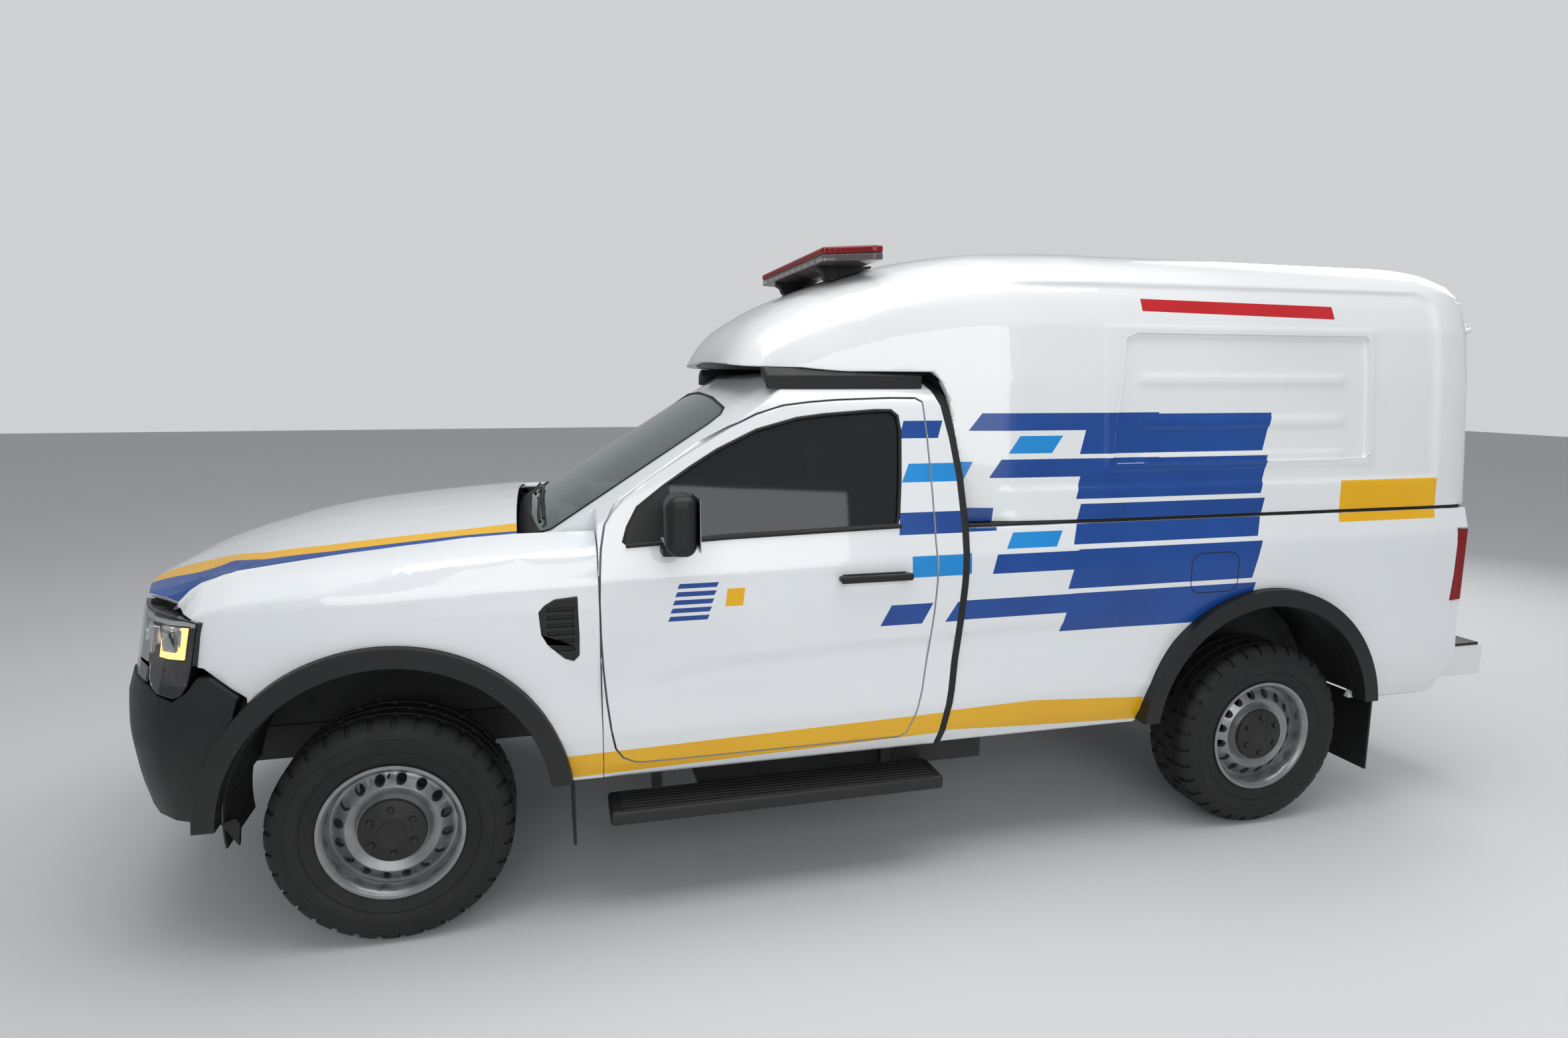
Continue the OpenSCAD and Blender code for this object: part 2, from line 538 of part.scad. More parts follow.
module column_frame() translate([-930, 380, 1120]) rotate([0, -62, 0]) children();
module dashboard() color(black) place() {
  across(-740, 740) polygon([[-648.3, 700], [-648.3, 1168], [-700, 1196], [-780, 1218], [-860, 1190], [-900, 1080],
    [-850, 1000], [-760, 940], [-720, 700]]);
  column_frame() {
    translate([0, 0, -150]) cylinder(r = 30, h = 137.7);
    translate([0, 0, -20]) cylinder(r = 11.95, h = 24);
  }
}
module seat(y) {
  box([-1500, y - 250, 700], [-1000, y + 250, 820]);
  box([-1450, y - 220, 640.3], [-1080, y + 220, 700]);
  across(y - 250, y + 250) polygon([[-1500, 820], [-1400, 820], [-1560, 1380], [-1660, 1380]]);
  across(y - 140, y + 140) polygon([[-1590, 1379], [-1640, 1560], [-1700, 1560], [-1660, 1379]]);
}
module seats() color(dark) place() both() seat(380);
module bench() color(steel) place() {
  base = 434 + flare_inner + 18;
  box([-3900, -840, base], [-2200, -600, 1250]);
  box([-3900, -840, 810.3], [-3760, -600, base + 1]);
  box([-2710, -840, 810.3], [-2200, -600, base + 1]);
  box([-4000, -280, 1100], [-2150, 280, 1180]);
  for (x = [-3900, -2300]) box([x - 20, -200, 810.3], [x + 20, 200, 1101]);
}

module bonnet() color(white) place() {
  ys = [750, 690, 600, 450, 250, 0, -250, -450, -600, -690, -750];
  ss = [0, 0.15, 0.32, 0.5, 0.66, 0.78, 0.87, 0.94, 1];
  skin([for (s = ss) [for (y = ys) bonnet_pt(s, y, 0)]], [for (s = ss) [for (y = ys) bonnet_pt(s, y, 14)]]);
  both() {
    for (y = [622, 666]) box([-406, y, 1279], [-388, y + 12, 1298]);
    translate([-400, 0, 1285]) rod(622, 678, 4);
  }
}

module door_slab(t0, t1) along(-1900, -600) polygon(concat([for (z = side_z) [side_y(z) - t0, z]],
  [for (i = [len(side_z) - 1:-1:0]) [side_y(side_z[i]) - t1, side_z[i]]]));
module door_body() difference() {
  intersection() {
    union() {
      door_slab(0, 28);
      intersection() {
        door_slab(1, door_thickness);
        box([-1900, 500, 500], [-600, 1000, 1262]);
      }
    }
    across(500, 1100) polygon(door_line);
  }
  across(500, 1100) polygon(window_line);
  for (h = hinge_z) box([door_pin[0] - 12, 800, h - 16], [-640, 942.2, h + 16]);
}
module door_pins() for (h = hinge_z) translate(concat(door_pin, h - 22)) cylinder(r = 3.5, h = 44);
module door_left() color(white) place() { door_body(); door_pins(); }
module door_right() color(white) place() mirror([0, 1, 0]) { door_body(); door_pins(); }
module door_glass_body() intersection() {
  door_slab(10, 14);
  across(500, 1100) polygon(grow(window_line, -0.3));
}
module door_glass_left() color(glass) place() door_glass_body();
module door_glass_right() color(glass) place() mirror([0, 1, 0]) door_glass_body();
module mirror_body() {
  difference() {
    translate([-905, 1050, 1350]) rotate([0, 0, 8]) box([-50, -110, -95], [50, 110, 95]);
    translate([-965, 1050, 1350]) rotate([0, 0, 8]) box([-50, -95, -80], [15, 95, 80]);
  }
  box([-900, 924.4, 1236], [-860, 1000, 1262]);
}
module mirror_left() color(black) place() mirror_body();
module mirror_right() color(black) place() mirror([0, 1, 0]) mirror_body();

rear_hinge_z = [cap_at(1340), cap_at(2000)];
rear_window_z = [cap_at(1420), cap_at(1900)];
module rear_leaf() {
  difference() {
    box([-4248, 4, 700], [-4208, 752, cap_at(2112)]);
    box([-4300, 130, rear_window_z[0]], [-4200, 630, rear_window_z[1]]);
  }
  for (h = rear_hinge_z) {
    for (z = [h - 26, h + 10.3]) {
      box([-4258, 700, z], [-4247, 752, z + 15.7]);
      box([-4258, 740, z], [-4250.3, 765, z + 15.7]);
      translate([-4262, 765, z]) cylinder(r = 9, h = 15.7);
    }
    translate([-4262, 765, h - 26]) cylinder(r = 4, h = 52);
  }
}
module rear_hinge() for (h = rear_hinge_z) difference() {
  union() {
    box([-4262, 766, h - 10], [-4235, 800, h + 10]);
    translate([-4262, 765, h - 10]) cylinder(r = 9, h = 20);
  }
  translate([-4262, 765, h - 11]) cylinder(r = 4.05, h = 22);
}
module rear_door_left() color(white) place() rear_leaf();
module rear_door_right() color(white) place() mirror([0, 1, 0]) rear_leaf();
module rear_glass() box([-4240, 130.3, rear_window_z[0] + 0.3], [-4234, 629.7, rear_window_z[1] - 0.3]);
module rear_glass_left() color(glass) place() rear_glass();
module rear_glass_right() color(glass) place() mirror([0, 1, 0]) rear_glass();

module steering_wheel() color(black) place() translate([-930, 380, 1120]) rotate([0, -62, 0]) {
  rotate_extrude() translate([178, 0]) circle(r = 14, $fn = 24);
  difference() {
    cylinder(r = 60, h = 24, center = true);
    translate([0, 0, -13]) cylinder(r = 12, h = 18);
  }
  for (a = [90, 210, 330]) rotate([0, 0, a]) box([50, -16, -6], [170, 16, 6]);
}

module knuckle_body() {
  translate([0, kingpin_y, axle_z - 31]) cylinder(r = 28, h = 187);
  translate([0, 0, axle_z]) rod(700, 890, 30.95);
  translate([0, 0, axle_z]) rod(740, 752, 140);
}
module knuckle_left() color(dark) place() knuckle_body();
module knuckle_right() color(dark) place() mirror([0, 1, 0]) knuckle_body();

// wheel about its own Y axis, outer side towards +Y
rim_r = rim_diameter / 2;
module tyre_body() rotate([-90, 0, 0]) rotate_extrude($fn = 96) polygon([[205, -98], [rim_r + 2, -104], [250, -118],
  [290, -tyre_width / 2], [325, -tyre_width / 2 + 4], [350, -112], [368, -92], [axle_z, -70], [axle_z, 70],
  [368, 92], [350, 112], [325, tyre_width / 2 - 4], [290, tyre_width / 2], [250, 118], [rim_r + 2, 104], [205, 98]]);
module rim_body() rotate([-90, 0, 0]) difference() {
  rotate_extrude($fn = 96) polygon([[rim_r, -112], [rim_r, -105.5], [204.5, -99], [204.5, 99], [rim_r, 105.5], [rim_r, 112],
    [212, 112], [199, 98], [193, 54], [187, 54], [142, 86], [112, 73], [106, 72], [103, 86], [82, 99], [42, 106], [0, 106],
    [0, 90], [31, 88], [31, -30], [78, -30], [98, 44], [142, 64], [182, 32], [188, -96], [212, -112]]);
  for (i = [0:rim_holes - 1]) rotate([0, 0, (i + 0.5) * 360 / rim_holes]) translate([rim_hole_circle, 0, 20])
    cylinder(r = rim_hole_r, h = 90, $fn = 24);
}
rim_hole_circle = 164;
rim_hole_r = 16;
module wheel_at(x, s) translate([x, s * wheel_y, axle_z]) mirror([0, s < 0 ? 1 : 0, 0]) children();
module tyre_front_left() color(black) place() wheel_at(0, 1) tyre_body();
module tyre_front_right() color(black) place() wheel_at(0, -1) tyre_body();
module tyre_rear_left() color(black) place() wheel_at(rear_x, 1) tyre_body();
module tyre_rear_right() color(black) place() wheel_at(rear_x, -1) tyre_body();
module rim_front_left() color(steel) place() wheel_at(0, 1) rim_body();
module rim_front_right() color(steel) place() wheel_at(0, -1) rim_body();
module rim_rear_left() color(steel) place() wheel_at(rear_x, 1) rim_body();
module rim_rear_right() color(steel) place() wheel_at(rear_x, -1) rim_body();

ladder_frame();
cab_shell();
windscreen();
cowl_panel();
wing_left();
wing_right();
wing_vents();
front_bumper();
grille();
headlamps();
arch_flares();
wheel_liners();
engine_block();
radiator_panel();
gearbox();
front_suspension();
rear_axle();
leaf_springs();
exhaust();
fuel_tank();
spare_wheel();
load_bed();
capsule_shell();
gap_seal();
tail_lamps();
rear_bumper();
mud_flaps();
side_steps();
light_bar();
light_bar_brackets();
dashboard();
seats();
bench();
bonnet();
door_left();
door_right();
door_glass_left();
door_glass_right();
mirror_left();
mirror_right();
rear_door_left();
rear_door_right();
rear_glass_left();
rear_glass_right();
steering_wheel();
knuckle_left();
knuckle_right();
tyre_front_left();
tyre_front_right();
tyre_rear_left();
tyre_rear_right();
rim_front_left();
rim_front_right();
rim_rear_left();
rim_rear_right();
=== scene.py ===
import json
import math

import bmesh
import bpy
from mathutils import Matrix, Vector
from mathutils.bvhtree import BVHTree

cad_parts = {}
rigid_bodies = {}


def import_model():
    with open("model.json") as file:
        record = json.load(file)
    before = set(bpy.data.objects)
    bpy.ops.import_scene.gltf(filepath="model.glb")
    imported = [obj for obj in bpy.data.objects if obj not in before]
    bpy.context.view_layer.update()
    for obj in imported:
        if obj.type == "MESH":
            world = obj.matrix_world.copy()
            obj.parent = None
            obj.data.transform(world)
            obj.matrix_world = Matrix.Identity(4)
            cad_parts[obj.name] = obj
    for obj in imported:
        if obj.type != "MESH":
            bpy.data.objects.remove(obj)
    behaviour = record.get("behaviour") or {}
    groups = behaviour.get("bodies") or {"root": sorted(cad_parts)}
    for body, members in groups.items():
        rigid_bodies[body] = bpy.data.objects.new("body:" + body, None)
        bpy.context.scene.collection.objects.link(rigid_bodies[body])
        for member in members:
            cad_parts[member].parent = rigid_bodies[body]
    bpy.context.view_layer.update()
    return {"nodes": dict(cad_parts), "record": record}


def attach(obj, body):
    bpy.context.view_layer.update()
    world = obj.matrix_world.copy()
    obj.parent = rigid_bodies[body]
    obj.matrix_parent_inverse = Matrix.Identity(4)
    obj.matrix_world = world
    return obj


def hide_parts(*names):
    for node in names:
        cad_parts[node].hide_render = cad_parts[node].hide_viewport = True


for item in list(bpy.data.objects):
    bpy.data.objects.remove(item)
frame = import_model()
nodes = frame["nodes"]

# places are in millimetres, X from the front axle, Z from the floor
FRONT_AXLE = 1765
AXLE_Z = 374
REAR_X = -3270
WHEEL_Y = 810
# points closer than this, in metres, are one
MERGE = 0.00002
FRONT_DOORS = ("front_door_left", "front_door_right")
BACK_DOORS = ("back_door_left", "back_door_right")


def at(x, y, z):
    return Vector(((x + FRONT_AXLE) / 1000, y / 1000, z / 1000))


def between(x, table):
    """The value at x on straight lines between the table's points, which rise in x."""
    if x <= table[0][0]:
        return table[0][1]
    for (a, p), (b, q) in zip(table, table[1:]):
        if x <= b:
            return p + (q - p) * (x - a) / (b - a)
    return table[-1][1]


def ease(t):
    t = min(1.0, max(0.0, t))
    return t * t * (3 - 2 * t)


# finishes

def linear(code):
    parts = [int(code[i:i + 2], 16) / 255 for i in (1, 3, 5)]
    return [c / 12.92 if c <= 0.04045 else ((c + 0.055) / 1.055) ** 2.4 for c in parts] + [1]


def add(tree, kind, links=None, **settings):
    item = tree.nodes.new(kind)
    for key, value in settings.items():
        setattr(item, key, value)
    for key, value in (links or {}).items():
        if isinstance(value, bpy.types.NodeSocket):
            tree.links.new(value, item.inputs[key])
        else:
            item.inputs[key].default_value = value
    return item


FINISHES = {}


def finish(name, tones, patch_mm, rough, grain_mm=0.0, depth_mm=0.0, film=0.0, film_tone="#8f8a80",
           **sockets):
    """Two close tones in soft patches, a range of roughness, a fine grain and road film low down."""
    material = bpy.data.materials.new(name)
    material.use_nodes = True
    tree = material.node_tree
    tree.nodes.clear()
    place = add(tree, "ShaderNodeTexCoord").outputs["Object"]
    patch = add(tree, "ShaderNodeTexNoise", {"Vector": place, "Scale": 1000 / patch_mm, "Detail": 4.0})
    spread = add(tree, "ShaderNodeMapRange", {"Value": patch.outputs["Fac"], "From Min": 0.35,
                                              "From Max": 0.65})
    tone = add(tree, "ShaderNodeMix", {"Factor": spread.outputs["Result"], 6: linear(tones[0]),
                                       7: linear(tones[1])}, data_type="RGBA").outputs[2]
    gloss = add(tree, "ShaderNodeMapRange", {"Value": patch.outputs["Fac"], "From Min": 0.3, "From Max": 0.7,
                                             "To Min": rough[0], "To Max": rough[1]}).outputs["Result"]
    if film:
        height = add(tree, "ShaderNodeSeparateXYZ", {"Vector": place}).outputs["Z"]
        low = add(tree, "ShaderNodeMapRange", {"Value": height, "From Min": 0.28, "From Max": 0.8,
                                               "To Min": film, "To Max": 0.0}).outputs["Result"]
        speck = add(tree, "ShaderNodeTexNoise", {"Vector": place, "Scale": 90.0, "Detail": 6.0})
        amount = add(tree, "ShaderNodeMath", {0: low, 1: speck.outputs["Fac"]},
                     operation="MULTIPLY").outputs["Value"]
        tone = add(tree, "ShaderNodeMix", {"Factor": amount, 6: tone, 7: linear(film_tone)},
                   data_type="RGBA").outputs[2]
    links = {"Base Color": tone, "Roughness": gloss}
    if depth_mm:
        fine = add(tree, "ShaderNodeTexNoise", {"Vector": place, "Scale": 1000 / grain_mm, "Detail": 3.0})
        links["Normal"] = add(tree, "ShaderNodeBump", {"Height": fine.outputs["Fac"], "Strength": 1.0,
                                                       "Distance": depth_mm / 1000}).outputs["Normal"]
    links.update(sockets)
    shader = add(tree, "ShaderNodeBsdfPrincipled", links)
    add(tree, "ShaderNodeOutputMaterial", {"Surface": shader.outputs["BSDF"]})
    FINISHES[name] = material


CLEAR = {"Coat Weight": 1.0, "Coat Roughness": 0.04}
SATIN = {"Coat Weight": 0.2, "Coat Roughness": 0.2}
# baked enamel on steel: deep even gloss with the faint ripple of sprayed paint
finish("white_paint", ("#eceff1", "#eef1f3"), 400, (0.25, 0.27), 6, 0.01, 0.25, **CLEAR)
# polyester gelcoat: softer gloss, slow waves of the mould
finish("white_gelcoat", ("#edeff0", "#f1f3f3"), 500, (0.26, 0.34), 60, 0.12, 0.0, **CLEAR)
# cast vinyl film over the paint
finish("yellow_film", ("#f0b400", "#f4bb08"), 300, (0.28, 0.34), 6, 0.01, 0.2, **SATIN)
finish("blue_film", ("#0b4391", "#0d4a9c"), 300, (0.26, 0.32), 6, 0.01, 0.1, **SATIN)
finish("light_blue_film", ("#128bd6", "#1792dd"), 300, (0.26, 0.32), 6, 0.01, **SATIN)
finish("red_film", ("#c3141d", "#cb1a22"), 300, (0.28, 0.34), 6, 0.01, **SATIN)
# moulded polypropylene: matt, with a spark-eroded grain, drawn at 2.5 mm so that it shows
finish("black_plastic", ("#0b0c0d", "#101112"), 120, (0.46, 0.58), 2.5, 0.06, 0.08)
# gloss-black acrylic trim
finish("gloss_black", ("#0b0c0d", "#101112"), 80, (0.08, 0.14), 40, 0.01)
# extruded rubber seal
finish("black_rubber", ("#0e0e0f", "#161617"), 90, (0.5, 0.65), 3, 0.05)
# tyre tread and wall: matt carbon rubber greyed by road dust
finish("tyre_black", ("#0a0b0c", "#111213"), 60, (0.6, 0.78), 2.0, 0.08, 0.12, "#4c4943")
# silver enamel on a pressed steel wheel
finish("wheel_silver", ("#8a8d8f", "#999c9e"), 50, (0.26, 0.38), 1.5, 0.015, 0.15, Metallic=0.75)
# satin chassis enamel with dust
finish("chassis_black", ("#121315", "#1c1d1e"), 70, (0.45, 0.65), 4, 0.08, 0.15)
# sand-cast iron and aluminium
finish("cast_metal", ("#5d5f61", "#737577"), 40, (0.5, 0.7), 2.5, 0.2, 0.3, Metallic=0.6)
# heat-dulled exhaust tube
finish("exhaust_steel", ("#6f6a63", "#8b8780"), 50, (0.35, 0.55), 8, 0.05, 0.2, Metallic=0.85)
# zinc-plated fastener
finish("zinc", ("#9a9c9e", "#b0b2b4"), 15, (0.3, 0.42), 1, 0.01, Metallic=0.9)
# vacuum-metallised lamp reflector
finish("reflector", ("#c9ccd0", "#d6d9dc"), 20, (0.1, 0.2), 8, 0.05, Metallic=0.95)
# woven polyester seat cloth, threads drawn at 3 mm
finish("seat_cloth", ("#2a2c31", "#383a40"), 8, (0.8, 0.95), 3, 0.35, **{"Sheen Weight": 0.4})
# soft dashboard skin
finish("trim_grey", ("#2b2c2e", "#35363a"), 100, (0.5, 0.62), 2, 0.08)
# coated fabric of a bench pad, fine leather grain
finish("bench_vinyl", ("#274d7c", "#2d558a"), 60, (0.32, 0.42), 3, 0.12)
# painted sheet liner and lockers
finish("liner_grey", ("#cfd3d4", "#d8dbdc"), 200, (0.35, 0.45), 5, 0.03)


def clear_material(name, tone, amount, rough, ior=1.5):
    """Glass or lens: even tone, with a faint ripple."""
    material = bpy.data.materials.new(name)
    material.use_nodes = True
    tree = material.node_tree
    tree.nodes.clear()
    place = add(tree, "ShaderNodeTexCoord").outputs["Object"]
    wave = add(tree, "ShaderNodeTexNoise", {"Vector": place, "Scale": 7.0, "Detail": 1.0}).outputs["Fac"]
    bump = add(tree, "ShaderNodeBump", {"Height": wave, "Strength": 0.4, "Distance": 0.0002})
    links = {"Base Color": linear(tone), "Transmission Weight": amount, "Roughness": rough, "IOR": ior,
             "Normal": bump.outputs["Normal"]}
    shader = add(tree, "ShaderNodeBsdfPrincipled", links)
    add(tree, "ShaderNodeOutputMaterial", {"Surface": shader.outputs["BSDF"]})
    FINISHES[name] = material


# laminated glass with a green-grey cast; the side and rear panes carry a dark film
clear_material("tinted_glass", "#3d464b", 0.82, 0.03)
clear_material("windscreen_glass", "#a9b9b6", 0.93, 0.02)
clear_material("lamp_clear", "#f4f6f7", 1.0, 0.02, 1.49)
# dyed acrylic lens with prisms behind it
clear_material("lamp_red", "#a80f18", 0.45, 0.08, 1.49)
clear_material("lamp_smoke", "#d9c8c8", 0.85, 0.05, 1.49)
# silvered glass of the mirrors
finish("mirror_silver", ("#d5d8da", "#d9dcde"), 300, (0.02, 0.03), Metallic=1.0)
# light guides, off: milky acrylic
finish("strip_white", ("#d9dcde", "#e2e4e5"), 30, (0.15, 0.22), 6, 0.02, **CLEAR)
# smoke-tinted reflector
finish("smoked_metal", ("#3a3c40", "#4a4c50"), 20, (0.18, 0.3), 6, 0.05, Metallic=0.8)
# lit halogen bowl
WARM = {"Emission Color": linear("#ffc46b"), "Emission Strength": 2.2}
finish("lamp_lit", ("#ffd9a0", "#ffb65c"), 30, (0.2, 0.3), 12, 0.4, **WARM)


# shaping tools

def deselect():
    if bpy.context.object and bpy.context.object.mode != "OBJECT":
        bpy.ops.object.mode_set(mode="OBJECT")
    bpy.ops.object.select_all(action="DESELECT")


def activate(piece):
    deselect()
    piece.select_set(True)
    bpy.context.view_layer.objects.active = piece
    return piece


def settle(piece):
    """Puts the place into the mesh, with the object at the origin."""
    activate(piece)
    bpy.ops.object.transform_apply(location=True, rotation=True, scale=True)
    return piece


def use(piece, kind, **settings):
    activate(piece)
    modifier = piece.modifiers.new(kind.title(), kind)
    for key, value in settings.items():
        setattr(modifier, key, value)
    bpy.ops.object.modifier_apply(modifier=modifier.name)
    return piece


def smooth(piece, angle=32, weighted=True):
    activate(piece)
    bpy.ops.object.shade_smooth_by_angle(angle=math.radians(angle))
    if weighted:
        use(piece, "WEIGHTED_NORMAL", keep_sharp=True)
    return piece


def bevelled(piece, width, segments=2, angle=30):
    use(piece, "BEVEL", width=width / 1000, segments=segments, limit_method="ANGLE",
        angle_limit=math.radians(angle), harden_normals=False)
    return smooth(piece)


def pick(piece, test):
    """Selects the faces whose centre and normal pass the test, in edit mode."""
    activate(piece)
    bpy.ops.object.mode_set(mode="EDIT")
    bpy.ops.mesh.select_mode(type="FACE")
    bpy.ops.mesh.select_all(action="DESELECT")
    bm = bmesh.from_edit_mesh(piece.data)
    for face in bm.faces:
        if test(face.calc_center_median() * 1000 - Vector((FRONT_AXLE, 0, 0)), face.normal):
            face.select_set(True)
    bm.select_flush_mode()
    bmesh.update_edit_mesh(piece.data)


def done():
    bpy.ops.object.mode_set(mode="OBJECT")


def block(name, low, high, edge=3, segments=2):
    """A solid between two corners with rounded edges."""
    deselect()
    middle = (at(*low) + at(*high)) / 2
    bpy.ops.mesh.primitive_cube_add(size=1, location=middle)
    piece = bpy.context.object
    piece.name = name
    piece.scale = [(b - a) / 1000 for a, b in zip(low, high)]
    settle(piece)
    return bevelled(piece, edge, segments)


def outline(name, points):
    """A flat face through the points."""
    deselect()
    bpy.ops.mesh.primitive_circle_add(vertices=len(points), fill_type="NGON")
    piece = bpy.context.object
    piece.name = name
    for vertex, point in zip(piece.data.vertices, points):
        vertex.co = point
    return piece


def thicken(piece, vector):
    activate(piece)
    bpy.ops.object.mode_set(mode="EDIT")
    bpy.ops.mesh.select_all(action="SELECT")
    bpy.ops.mesh.extrude_region_move(TRANSFORM_OT_translate={"value": Vector(vector) / 1000})
    bpy.ops.mesh.select_all(action="SELECT")
    bpy.ops.mesh.normals_make_consistent(inside=False)
    done()
    return piece


def plate(name, points, y0, y1, edge=2):
    """A solid with an outline in side view, from y0 to y1."""
    piece = thicken(outline(name, [at(x, y0, z) for x, z in points]), (0, y1 - y0, 0))
    return bevelled(piece, edge) if edge else piece


def lathe(name, profile, centre, steps):
    """A solid turned about Y: profile points are radius and distance along the axis."""
    deselect()
    bpy.ops.mesh.primitive_circle_add(vertices=len(profile), fill_type="NOTHING")
    piece = bpy.context.object
    piece.name = name
    for vertex, (radius, along) in zip(piece.data.vertices, profile):
        vertex.co = at(centre[0], centre[1] + along, centre[2] + radius)
    activate(piece)
    bpy.ops.object.mode_set(mode="EDIT")
    bpy.ops.mesh.select_all(action="SELECT")
    bpy.ops.mesh.spin(steps=steps, angle=math.tau, center=at(*centre), axis=(0, 1, 0))
    bpy.ops.mesh.select_all(action="SELECT")
    bpy.ops.mesh.remove_doubles(threshold=MERGE)
    bpy.ops.mesh.normals_make_consistent(inside=False)
    done()
    return smooth(piece, 34, False)


def tube(name, points, radius, closed=False):
    """A round bar along the points."""
    deselect()
    curve = bpy.data.curves.new(name, "CURVE")
    curve.dimensions = "3D"
    line = curve.splines.new("POLY")
    line.points.add(len(points) - 1)
    for item, point in zip(line.points, points):
        item.co = (*point, 1)
    line.use_cyclic_u = closed
    curve.bevel_depth = radius / 1000
    curve.bevel_resolution = 2
    curve.use_fill_caps = not closed
    piece = bpy.data.objects.new(name, curve)
    bpy.context.collection.objects.link(piece)
    activate(piece)
    bpy.ops.object.convert(target="MESH")
    return smooth(bpy.context.object, 50, False)


def copied(piece, name, change):
    """A copy with its own mesh, each point moved by change."""
    other = piece.copy()
    other.data = piece.data.copy()
    other.name = name
    bpy.context.collection.objects.link(other)
    for vertex in other.data.vertices:
        vertex.co = change(vertex.co)
    return other


def across(piece, name):
    """The same piece on the other side of the vehicle."""
    other = copied(piece, name, lambda p: Vector((p.x, -p.y, p.z)))
    activate(other)
    bpy.ops.object.mode_set(mode="EDIT")
    bpy.ops.mesh.select_all(action="SELECT")
    bpy.ops.mesh.flip_normals()
    done()
    return other


def joined(pieces, name):
    deselect()
    for piece in pieces:
        piece.select_set(True)
    bpy.context.view_layer.objects.active = pieces[0]
    bpy.ops.object.join()
    pieces[0].name = name
    return pieces[0]


def put(piece, body, slot, material=None, stands_for=()):
    """Gives a piece its body and, if it has none, the finish named by material or else by slot, and hides
    the nodes it stands for.
    """
    if not piece.data.materials:
        piece.data.materials.append(FINISHES[material or slot])
    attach(piece, body)
    if stands_for:
        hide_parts(*stands_for)
    return piece


def both(piece, body, slot, material=None, stands_for=()):
    """The piece on the left and its twin on the right; a pair of bodies or nodes is left then right."""
    base = piece.name
    twin = across(piece, base + "_right")
    piece.name = base + "_left"
    bodies = (body, body) if isinstance(body, str) else body
    for turn, item in enumerate((piece, twin)):
        shown = [pair if isinstance(pair, str) else pair[turn] for pair in stands_for]
        put(item, bodies[turn], slot, material, shown)
    return piece, twin


def surface(source):
    """Finds the outside of a piece by a straight line."""
    source.data.calc_loop_triangles()
    points = [v.co for v in source.data.vertices]
    return BVHTree.FromPolygons(points, [t.vertices[:] for t in source.data.loop_triangles])


# body panels: finer copies of the solids, softened between their sharp edges

# degrees: edges above the first are rounded, points between faces below the second are smoothed
SHARP_ANGLE = 38
SOFT_ANGLE = 21


def panel(node, name, cuts, passes, edge):
    """A copy of a node with rounded edges, its outer skin cut into a grid and smoothed."""
    piece = bpy.data.objects.new(name, nodes[node].data.copy())
    piece.data.materials.clear()
    bpy.context.collection.objects.link(piece)
    activate(piece)
    bpy.ops.object.mode_set(mode="EDIT")
    bpy.ops.mesh.select_mode(type="VERT")
    bpy.ops.mesh.select_all(action="SELECT")
    bpy.ops.mesh.remove_doubles(threshold=MERGE)
    bpy.ops.mesh.dissolve_limited(angle_limit=math.radians(0.3))
    bpy.ops.mesh.select_mode(type="EDGE")
    bpy.ops.mesh.select_all(action="DESELECT")
    bpy.ops.mesh.edges_select_sharp(sharpness=math.radians(SHARP_ANGLE))
    bpy.ops.mesh.bevel(offset=edge / 1000, segments=2, clamp_overlap=False)
    bpy.ops.mesh.select_mode(type="VERT")
    done()
    if not cuts:
        return piece
    bm = bmesh.new()
    bm.from_mesh(piece.data)
    bm.normal_update()
    points = [v.co for v in bm.verts]
    middle = sum(points, Vector()) / len(points)
    outer = [f for f in bm.faces if f.normal.dot(f.calc_center_median() - middle) > 0]
    for way, spots in cuts:
        normal = Vector((way == "x", way == "y", way == "z"))
        for spot in spots:
            plane = at(spot, spot, spot)
            level = plane.dot(normal)
            crossing, beside = [], []
            for face in outer:
                heights = [v.co.dot(normal) for v in face.verts]
                (crossing if min(heights) < level < max(heights) else beside).append(face)
            edges = {e for f in crossing for e in f.edges}
            verts = {v for f in crossing for v in f.verts}
            parts = bmesh.ops.bisect_plane(bm, geom=list(verts) + list(edges) + crossing, dist=0.0002,
                                           plane_co=plane, plane_no=normal)
            outer = beside + [g for g in parts["geom"] if isinstance(g, bmesh.types.BMFace)]
    bm.normal_update()
    limit = math.radians(SOFT_ANGLE)
    soft = [v for v in bm.verts
            if all(len(e.link_faces) == 2 and e.calc_face_angle(9) < limit for e in v.link_edges)]
    for _ in range(passes):
        bmesh.ops.smooth_vert(bm, verts=soft, factor=0.5, use_axis_x=True, use_axis_y=True, use_axis_z=True)
    bm.to_mesh(piece.data)
    bm.free()
    return piece


def steps(start, stop, size):
    return [start + i * size for i in range(int((stop - start) / size) + 1)]


def press(piece, relief, facing=0.35):
    """Moves the outer skin of both sides inwards by relief(x, z) millimetres."""
    mesh = piece.data
    normals = [v.normal.y for v in mesh.vertices]
    for vertex, lean in zip(mesh.vertices, normals):
        side = 1 if vertex.co.y > 0 else -1
        if lean * side > facing:
            vertex.co.y -= side * relief(vertex.co.x * 1000 - FRONT_AXLE, vertex.co.z * 1000) / 1000
    return piece


def inside(point, ring):
    turns = [(b[0] - a[0]) * (point[1] - a[1]) - (b[1] - a[1]) * (point[0] - a[0])
             for a, b in zip(ring, ring[1:] + ring[:1])]
    return all(t >= 0 for t in turns) or all(t <= 0 for t in turns)


